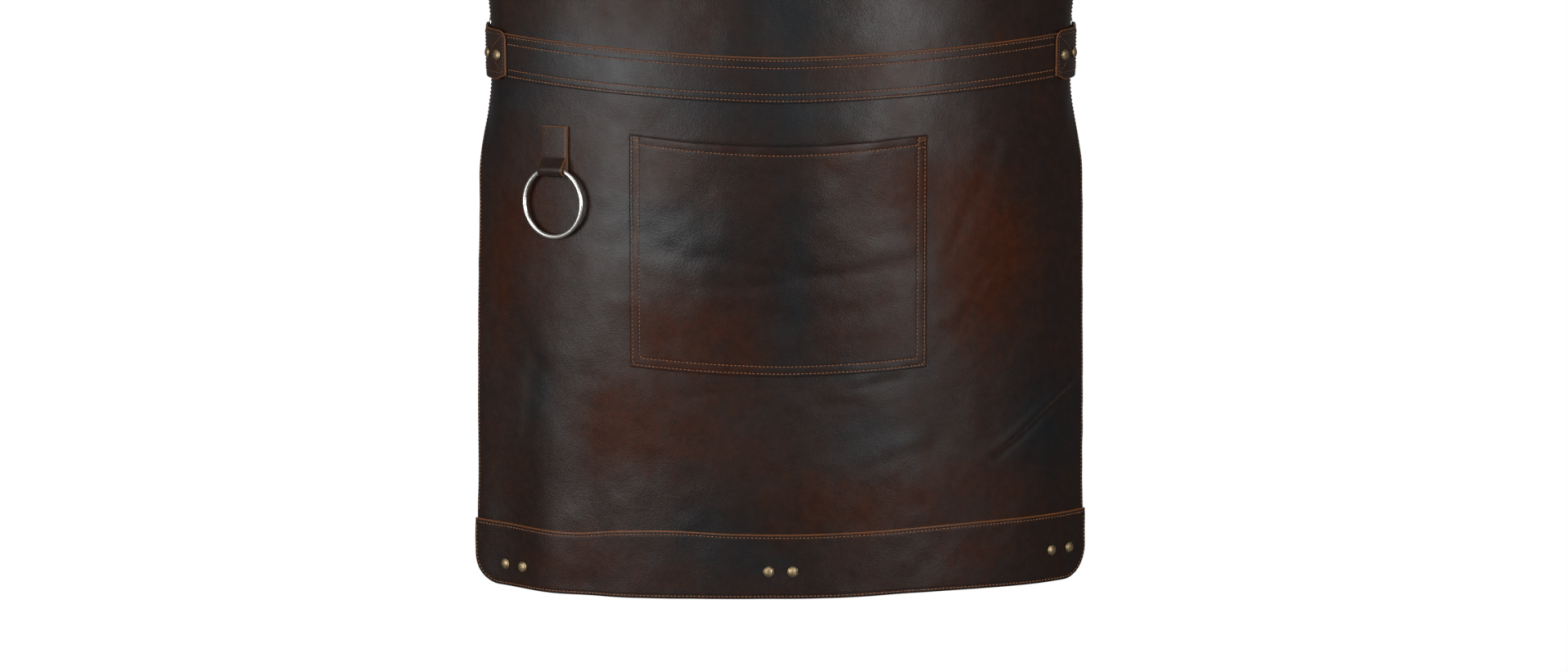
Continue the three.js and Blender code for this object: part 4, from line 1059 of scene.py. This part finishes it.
# A prong: flat wire spun round the bar and drawn out to a tip that rests on the front bar.
def prongPiece(name, matrix):
    eye = wire / 2 + buckle["barClearance"] + prongWire["thickness"] / 2
    tipX, tipZ = buckle["span"] + wire * 0.7, wire / 2 + hide["layerGap"] + prongWire["thickness"] / 2
    bpy.ops.object.select_all(action="DESELECT")
    bpy.ops.mesh.primitive_circle_add(
        vertices=16, radius=1 * mm, fill_type="NGON", location=(tipX * mm, 0, tipZ * mm),
        rotation=(0, math.pi / 2, 0))
    prong = bpy.context.object
    prong.name = name
    prong.scale = (prongWire["thickness"] / 2, prongWire["width"] / 2, 1)
    bpy.ops.object.transform_apply(location=True, rotation=True, scale=True)
    bpy.ops.object.mode_set(mode="EDIT")
    bpy.ops.mesh.select_all(action="SELECT")
    rise = (eye - tipZ) / 6
    for _ in range(6):
        bpy.ops.mesh.extrude_region_move(
            TRANSFORM_OT_translate={"value": (-tipX / 6 * mm, 0, rise * mm)})
    bpy.ops.mesh.spin(
        steps=26, angle=-math.radians(prongWire["eyeTurn"]), center=(0, 0, 0), axis=(0, 1, 0))
    bpy.ops.object.mode_set(mode="OBJECT")
    for vertex in prong.data.vertices:
        if vertex.co.x > (tipX - 1) * mm:
            vertex.co.y *= prongWire["tip"]
    onlySelect(prong)
    bpy.ops.object.mode_set(mode="EDIT")
    bpy.ops.mesh.select_all(action="SELECT")
    bpy.ops.mesh.remove_doubles(threshold=0.02 * mm)
    bpy.ops.mesh.normals_make_consistent(inside=False)
    bpy.ops.object.mode_set(mode="OBJECT")
    roundEdges(prong, 0.3, 2, steel)
    return placed(prong, matrix)


keeperSize = {"fromBar": 52, "length": 10, "thickness": 1.6, "corner": 1.8}


# A keeper: a leather band round both layers of strap, its ends butted underneath.
def keeperPiece(name, strap, size, barAt):
    middle = size["thickness"] / 2
    low = -middle - hide["layerGap"] - keeperSize["thickness"] / 2
    high = 3 * middle + 2 * hide["layerGap"] + keeperSize["thickness"] / 2 + middle
    half = size["width"] / 2 + 0.6 + keeperSize["thickness"] / 2
    corner = keeperSize["corner"]
    at = barAt - keeperSize["fromBar"]
    turns = [(half - corner, low + corner, -90, 0), (half - corner, high - corner, 0, 90),
             (corner - half, high - corner, 90, 180), (corner - half, low + corner, 180, 270)]
    points = [(0.15, low)]
    for centreW, centreH, start, end in turns:
        points += arcPoints(centreW, centreH, corner, start, end, 8)
    points.append((-0.15, low))
    path = evenPath(points, 0.8, 1)
    width = np.full(len(path), keeperSize["length"] / 2)
    place = lambda w, s, h: strap["place"](at + s, w, h)
    return leatherStrip(name, path[::-1], keeperSize["thickness"], -width, width, place, strapMaterials)


# One buckle: short strap folded round the heel bar, frame, prong, long strap over both, keeper.
def buckledStrap(label, strap, size, barAt, shortStart, longEnd):
    t, gap, half = size["thickness"], hide["layerGap"], size["width"] / 2
    foldInner = wire / 2 + buckle["barClearance"]
    barHeight, returnHeight = -t / 2 - gap / 2, -t - gap
    frameMatrix = strap["matrixAt"](barAt, barHeight)
    shortPath = evenPath([
        *shortStart, (barAt - 16, 0), *arcPoints(barAt, barHeight, foldInner + t / 2, 90, -90),
        (barAt - 16, returnHeight), (barAt - size["fold"], returnHeight)], 1.6)
    flat = np.full(len(shortPath), half)
    short = leatherStrip(f"{label}StrapShort", shortPath, t, -flat, flat, strap["place"], strapMaterials)
    cutWith(short, [slotCutter(15, buckle["slotWidth"] + 0.6, -7, frameMatrix)])
    finishPiece(short, "apron", "strap_leather", f"{label}_strap_short")

    overFold = barHeight + foldInner + t + gap + t / 2
    overStrap = t + gap
    underBar = barHeight - wire / 2 - buckle["barClearance"] - t / 2
    tongueEnd = barAt - size["tongue"]
    longPath = evenPath([
        (tongueEnd, overStrap), (barAt - 20, overStrap), (barAt - 5, overFold), (barAt + 2, overFold),
        (barAt + buckle["span"] - 5, underBar), (barAt + buckle["span"] + 6, underBar),
        (barAt + buckle["span"] + 40, 0), *longEnd], 1.6)
    reached = distanceAlong(longPath)
    tip = half * 0.9
    width = half * np.sqrt(np.clip(1 - (1 - np.clip(reached / tip, 0.02, 1)) ** 2, 0.02, 1))
    long = leatherStrip(f"{label}StrapLong", longPath, t, -width, width, strap["place"], strapMaterials)
    holes = [holeCutter(buckle["holeRadius"], strap["matrixAt"](barAt - away, overStrap))
             for away in range(buckle["firstHole"], int(size["tongue"]) - 14, buckle["holeSpacing"])
             if abs(away - keeperSize["fromBar"]) > 8]
    cutWith(long, [slotCutter(buckle["span"] + 2, buckle["slotWidth"], -2, frameMatrix), *holes])
    finishPiece(long, "apron", "strap_leather", f"{label}_strap_long")

    rows = []
    for strapPath, edge in ((shortPath, flat), (longPath, width)):
        for edgeSide in (-1, 1):
            w = edgeSide * np.maximum(edge[4:-3] - 3, 0.6)
            rows.append(stripRow(strapPath[4:-3], w, t / 2 + stitch["lift"], strap["place"]))
    stitchMesh(f"{label}StrapStitching", rows, "apron")

    inner = size["width"] + 2 * buckle["sideClearance"]
    rim = wireRectangle(f"{label}BuckleFrame", buckle["span"], inner, buckle["corner"], frameMatrix)
    finishPiece(rim, "apron", "satin_steel", f"{label}_buckle_frame")
    prong = prongPiece(f"{label}BuckleProng", frameMatrix)
    finishPiece(prong, f"{label}_prong", "satin_steel", f"{label}_buckle_prong")
    band = keeperPiece(f"{label}StrapKeeper", strap, size, barAt)
    finishPiece(band, f"{label}_keeper", "strap_leather", f"{label}_strap_keeper")


waistLength = waist["length"]
ringFold = wire / 2 + sideRing["play"] + hide["layerGap"] + waistStrap["thickness"] / 2
waistStart = [
    (waistStrap["fold"], 2 * ringBar), (18, 2 * ringBar), *arcPoints(0, ringBar, ringFold, 270, 90), (18, 0)]
waistEnd = [
    *arcPoints(waistLength, ringBar, ringFold, 90, -90), (waistLength - 18, 2 * ringBar),
    (waistLength - waistStrap["fold"], 2 * ringBar)]
neckStart = [(0, 0), (neckStrap["overlap"], 0)]
buckledStrap("waist", waist, waistStrap, waistLength / 2 - 20, waistStart, waistEnd)
buckledStrap("neck", neck, neckStrap, neckStrap["overlap"] + 82, neckStart, [(neckLength, 0)])
print("straps buckled")

# Rings. The tool ring's wire is drawn a little thicker than the others'.
ringInner = sideTab["height"] + 2 * sideRing["clearance"]
leftFrame = bodyFrame(-tabPivot, hide["seam"], tabMiddle)
leftFrame[:3, :2] *= -1
for label, matrix in (("right", sideFrame), ("left", leftFrame)):
    ring = wireRectangle(f"{label}SideRing", sideRing["span"], ringInner, sideRing["corner"], matrix)
    finishPiece(ring, f"side_ring_{label}", "satin_steel", f"side_ring_{label}")

bpy.ops.object.select_all(action="DESELECT")
bpy.ops.mesh.primitive_torus_add(
    major_radius=ringRadius * mm, minor_radius=(wire / 2 + toolRing["swell"]) * mm,
    major_segments=toolRing["segments"], minor_segments=24)
ring = bpy.context.object
ring.name = "toolRing"
ring.location = (0, (wireRise - ringRadius) * mm, 0)
bpy.ops.object.transform_apply(location=True, rotation=False, scale=False)
ring.data.materials.append(steel)
placed(ring, bodyFrame(ringLoop["across"], cavityHeight, cavityMiddle))
finishPiece(ring, "tool_ring", "satin_steel", "tool_ring")
print("rings made")

# Rivets: a domed cap with a rolled rim in front, a flat post head behind.
rivet = {
    "cap": 5, "capHeight": 2.8, "rim": 0.75, "flat": 0.35, "crownSteps": 7, "head": 4.6, "headHeight": 1.5,
    "post": 1.3, "postInCap": 0.6, "seat": 0.9,
}
# Where they go: middles of the hem's pairs and their spacing, in from a side, up a bib strap, in from a ring.
rivetSpots = {
    "pairs": ((-270.5, 20.5), (0, 26), (285, 29.5)), "spacing": 22.4, "side": (34, 18), "bib": (12, 32),
    "ring": 26,
}


def capPiece():
    bpy.ops.object.select_all(action="DESELECT")
    bpy.ops.mesh.primitive_cylinder_add(
        vertices=40, radius=rivet["cap"] * mm, depth=rivet["rim"] * mm,
        location=(0, 0, rivet["rim"] / 2 * mm))
    cap = bpy.context.object
    bpy.ops.object.transform_apply(location=True, rotation=False, scale=False)
    selectWhere(cap, lambda place: place.z > rivet["rim"] / 2 * mm)
    bpy.ops.object.mode_set(mode="EDIT")
    bpy.ops.mesh.inset(thickness=rivet["flat"] * mm, depth=0)
    rise = (rivet["capHeight"] - rivet["rim"]) * mm
    crown = (rivet["cap"] - rivet["flat"]) * mm
    turns = np.radians(np.linspace(0, 90, rivet["crownSteps"] + 1))[:-1]
    for here, after in zip(turns[:-1], turns[1:]):
        inward = crown * (math.cos(here) - math.cos(after))
        bpy.ops.mesh.inset(thickness=inward, depth=(math.sin(after) - math.sin(here)) * rise)
    bpy.ops.object.mode_set(mode="OBJECT")
    roundEdges(cap, 0.25, 3, brass)
    return cap


def postPiece(stack):
    bpy.ops.object.select_all(action="DESELECT")
    bpy.ops.mesh.primitive_cylinder_add(
        vertices=32, radius=rivet["head"] * mm, depth=rivet["headHeight"] * mm,
        location=(0, 0, -(stack + rivet["headHeight"] / 2) * mm))
    post = bpy.context.object
    bpy.ops.object.transform_apply(location=True, rotation=False, scale=False)
    selectWhere(post, lambda place: place.z > -(stack + rivet["headHeight"] / 2) * mm)
    bpy.ops.object.mode_set(mode="EDIT")
    bpy.ops.mesh.inset(thickness=(rivet["head"] - rivet["post"]) * mm, depth=0)
    reach = (stack + rivet["postInCap"]) * mm
    bpy.ops.mesh.extrude_region_move(TRANSFORM_OT_translate={"value": (0, 0, reach)})
    bpy.ops.object.mode_set(mode="OBJECT")
    roundEdges(post, 0.4, 3, brass)
    return post


def addRivet(label, number, matrix, stack):
    lifted = matrix.copy()
    lifted[:3, 3] += matrix[:3, 2] * hide["layerGap"] * mm
    for part, piece in (("cap", capPiece()), ("post", postPiece(stack + rivet["seat"] + hide["layerGap"]))):
        piece.name = f"{label}Rivet{number}{part.capitalize()}"
        finishPiece(placed(piece, lifted), "apron", "aged_brass", f"{label}_rivet_{number}_{part}", angle=50)


hemSpots = [(across + side * rivetSpots["spacing"] / 2, up)
            for across, up in rivetSpots["pairs"] for side in (-1, 1)]
tabSpots = [(side * (hide["halfWidth"] - back), hide["seam"])
            for side in (-1, 1) for back in rivetSpots["side"]]
bibSpots = [(side * neckStrap["across"], strapStart + up) for side in (-1, 1) for up in rivetSpots["bib"]]
tabOuter, tabBackOuter = tabInner + sideTab["leaf"], tabBackInner - sideTab["leaf"]
bibOuter = hide["layerGap"] + neckStrap["thickness"]
for label, spots, outer, stack in (
        ("hem", hemSpots, hemTop, hemTop + hide["thickness"]),
        ("side", tabSpots, tabOuter, tabOuter - tabBackOuter),
        ("bib", bibSpots, bibOuter, bibOuter + hide["thickness"])):
    for i, (u, v) in enumerate(spots):
        addRivet(label, i + 1, bodyFrame(u, v, outer, True), stack)
for i, s in enumerate((rivetSpots["ring"], waistLength - rivetSpots["ring"])):
    matrix = waist["matrixAt"](s, waistStrap["thickness"] / 2)
    addRivet("strap", i + 1, matrix, 2 * waistStrap["thickness"] + hide["layerGap"])
print("rivets set")

# Studio: pale floor and backdrop, soft boxes either side of the camera and behind, and a soft light above.
# A box is its azimuth, distance, width, height and watts.
studio = {
    "camera": (0.003, -2.5753, 0.6044), "pitch": 7.9, "lens": 64.63,
    "floorDrop": 0.4, "backdrop": 8, "paper": 40,
    "boxes": [(-45, 2.4, 1.3, 1.3, 40), (32, 2.4, 0.5, 1.3, 32), (180, 2.6, 1.6, 1.4, 26)], "boxLift": 0.25,
    "top": (1.2, 1.8, 8), "world": 0.16,
}


def emission(name, strength):
    material, tree, shader = newMaterial(name)
    tree.nodes.remove(shader)
    light = addNode(tree, "Emission", {"Color": (1, 1, 1, 1), "Strength": strength})
    tree.links.new(light.outputs[0], tree.nodes["Material Output"].inputs["Surface"])
    return material


def areaLight(name, place, aim, width, height, watts):
    lamp = bpy.data.lights.new(name, "AREA")
    lamp.shape = "RECTANGLE"
    lamp.size, lamp.size_y, lamp.energy = width, height, watts
    light = bpy.data.objects.new(name, lamp)
    bpy.context.scene.collection.objects.link(light)
    light.location = place
    light.rotation_euler = (Vector(aim) - Vector(place)).to_track_quat("-Z", "Y").to_euler()
    return light


paper = emission("seamlessPaper", 1.0)
floorHeight = hemCorner[2] - studio["floorDrop"]
for name, place, turn in (("floor", (0, 0, floorHeight), 0), ("backdrop", (0, studio["backdrop"], 0), 90)):
    bpy.ops.mesh.primitive_plane_add(
        size=studio["paper"], location=place, rotation=(math.radians(turn), 0, 0))
    plane = bpy.context.object
    plane.name = name
    plane.data.materials.append(paper)
    plane.visible_diffuse = plane.visible_glossy = False
    plane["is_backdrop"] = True
front = (0, float(bodyOrigin[1]), float(bodyOrigin[2]) + 0.35)
for i, (azimuth, distance, width, height, watts) in enumerate(studio["boxes"]):
    turn = math.radians(azimuth)
    place = (distance * math.sin(turn), front[1] - distance * math.cos(turn), front[2] + studio["boxLift"])
    areaLight(f"softBox{i + 1}", place, front, width, height, watts)
topPlace = (0, front[1] - studio["top"][0], front[2] + studio["top"][1])
areaLight("topLight", topPlace, front, 1.6, 1.0, studio["top"][2])
world = bpy.data.worlds.new("studioWorld")
bpy.context.scene.world = world
world.use_nodes = True
world.node_tree.nodes["Background"].inputs["Color"].default_value = (1, 1, 1, 1)
world.node_tree.nodes["Background"].inputs["Strength"].default_value = studio["world"]

cameraData = bpy.data.cameras.new("camera")
camera = bpy.data.objects.new("camera", cameraData)
bpy.context.scene.collection.objects.link(camera)
cameraData.lens = studio["lens"]
cameraData.clip_end = 50
camera.location = Vector(bodyOrigin) + Vector(studio["camera"])
camera.rotation_euler = (math.radians(90 - studio["pitch"]), 0, 0)
bpy.context.scene.camera = camera
bpy.context.scene.view_settings.view_transform = "Standard"
print("studio lit")

{"cad": [list(corner) for corner in cadBounds], "scene": [list(corner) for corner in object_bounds()]}
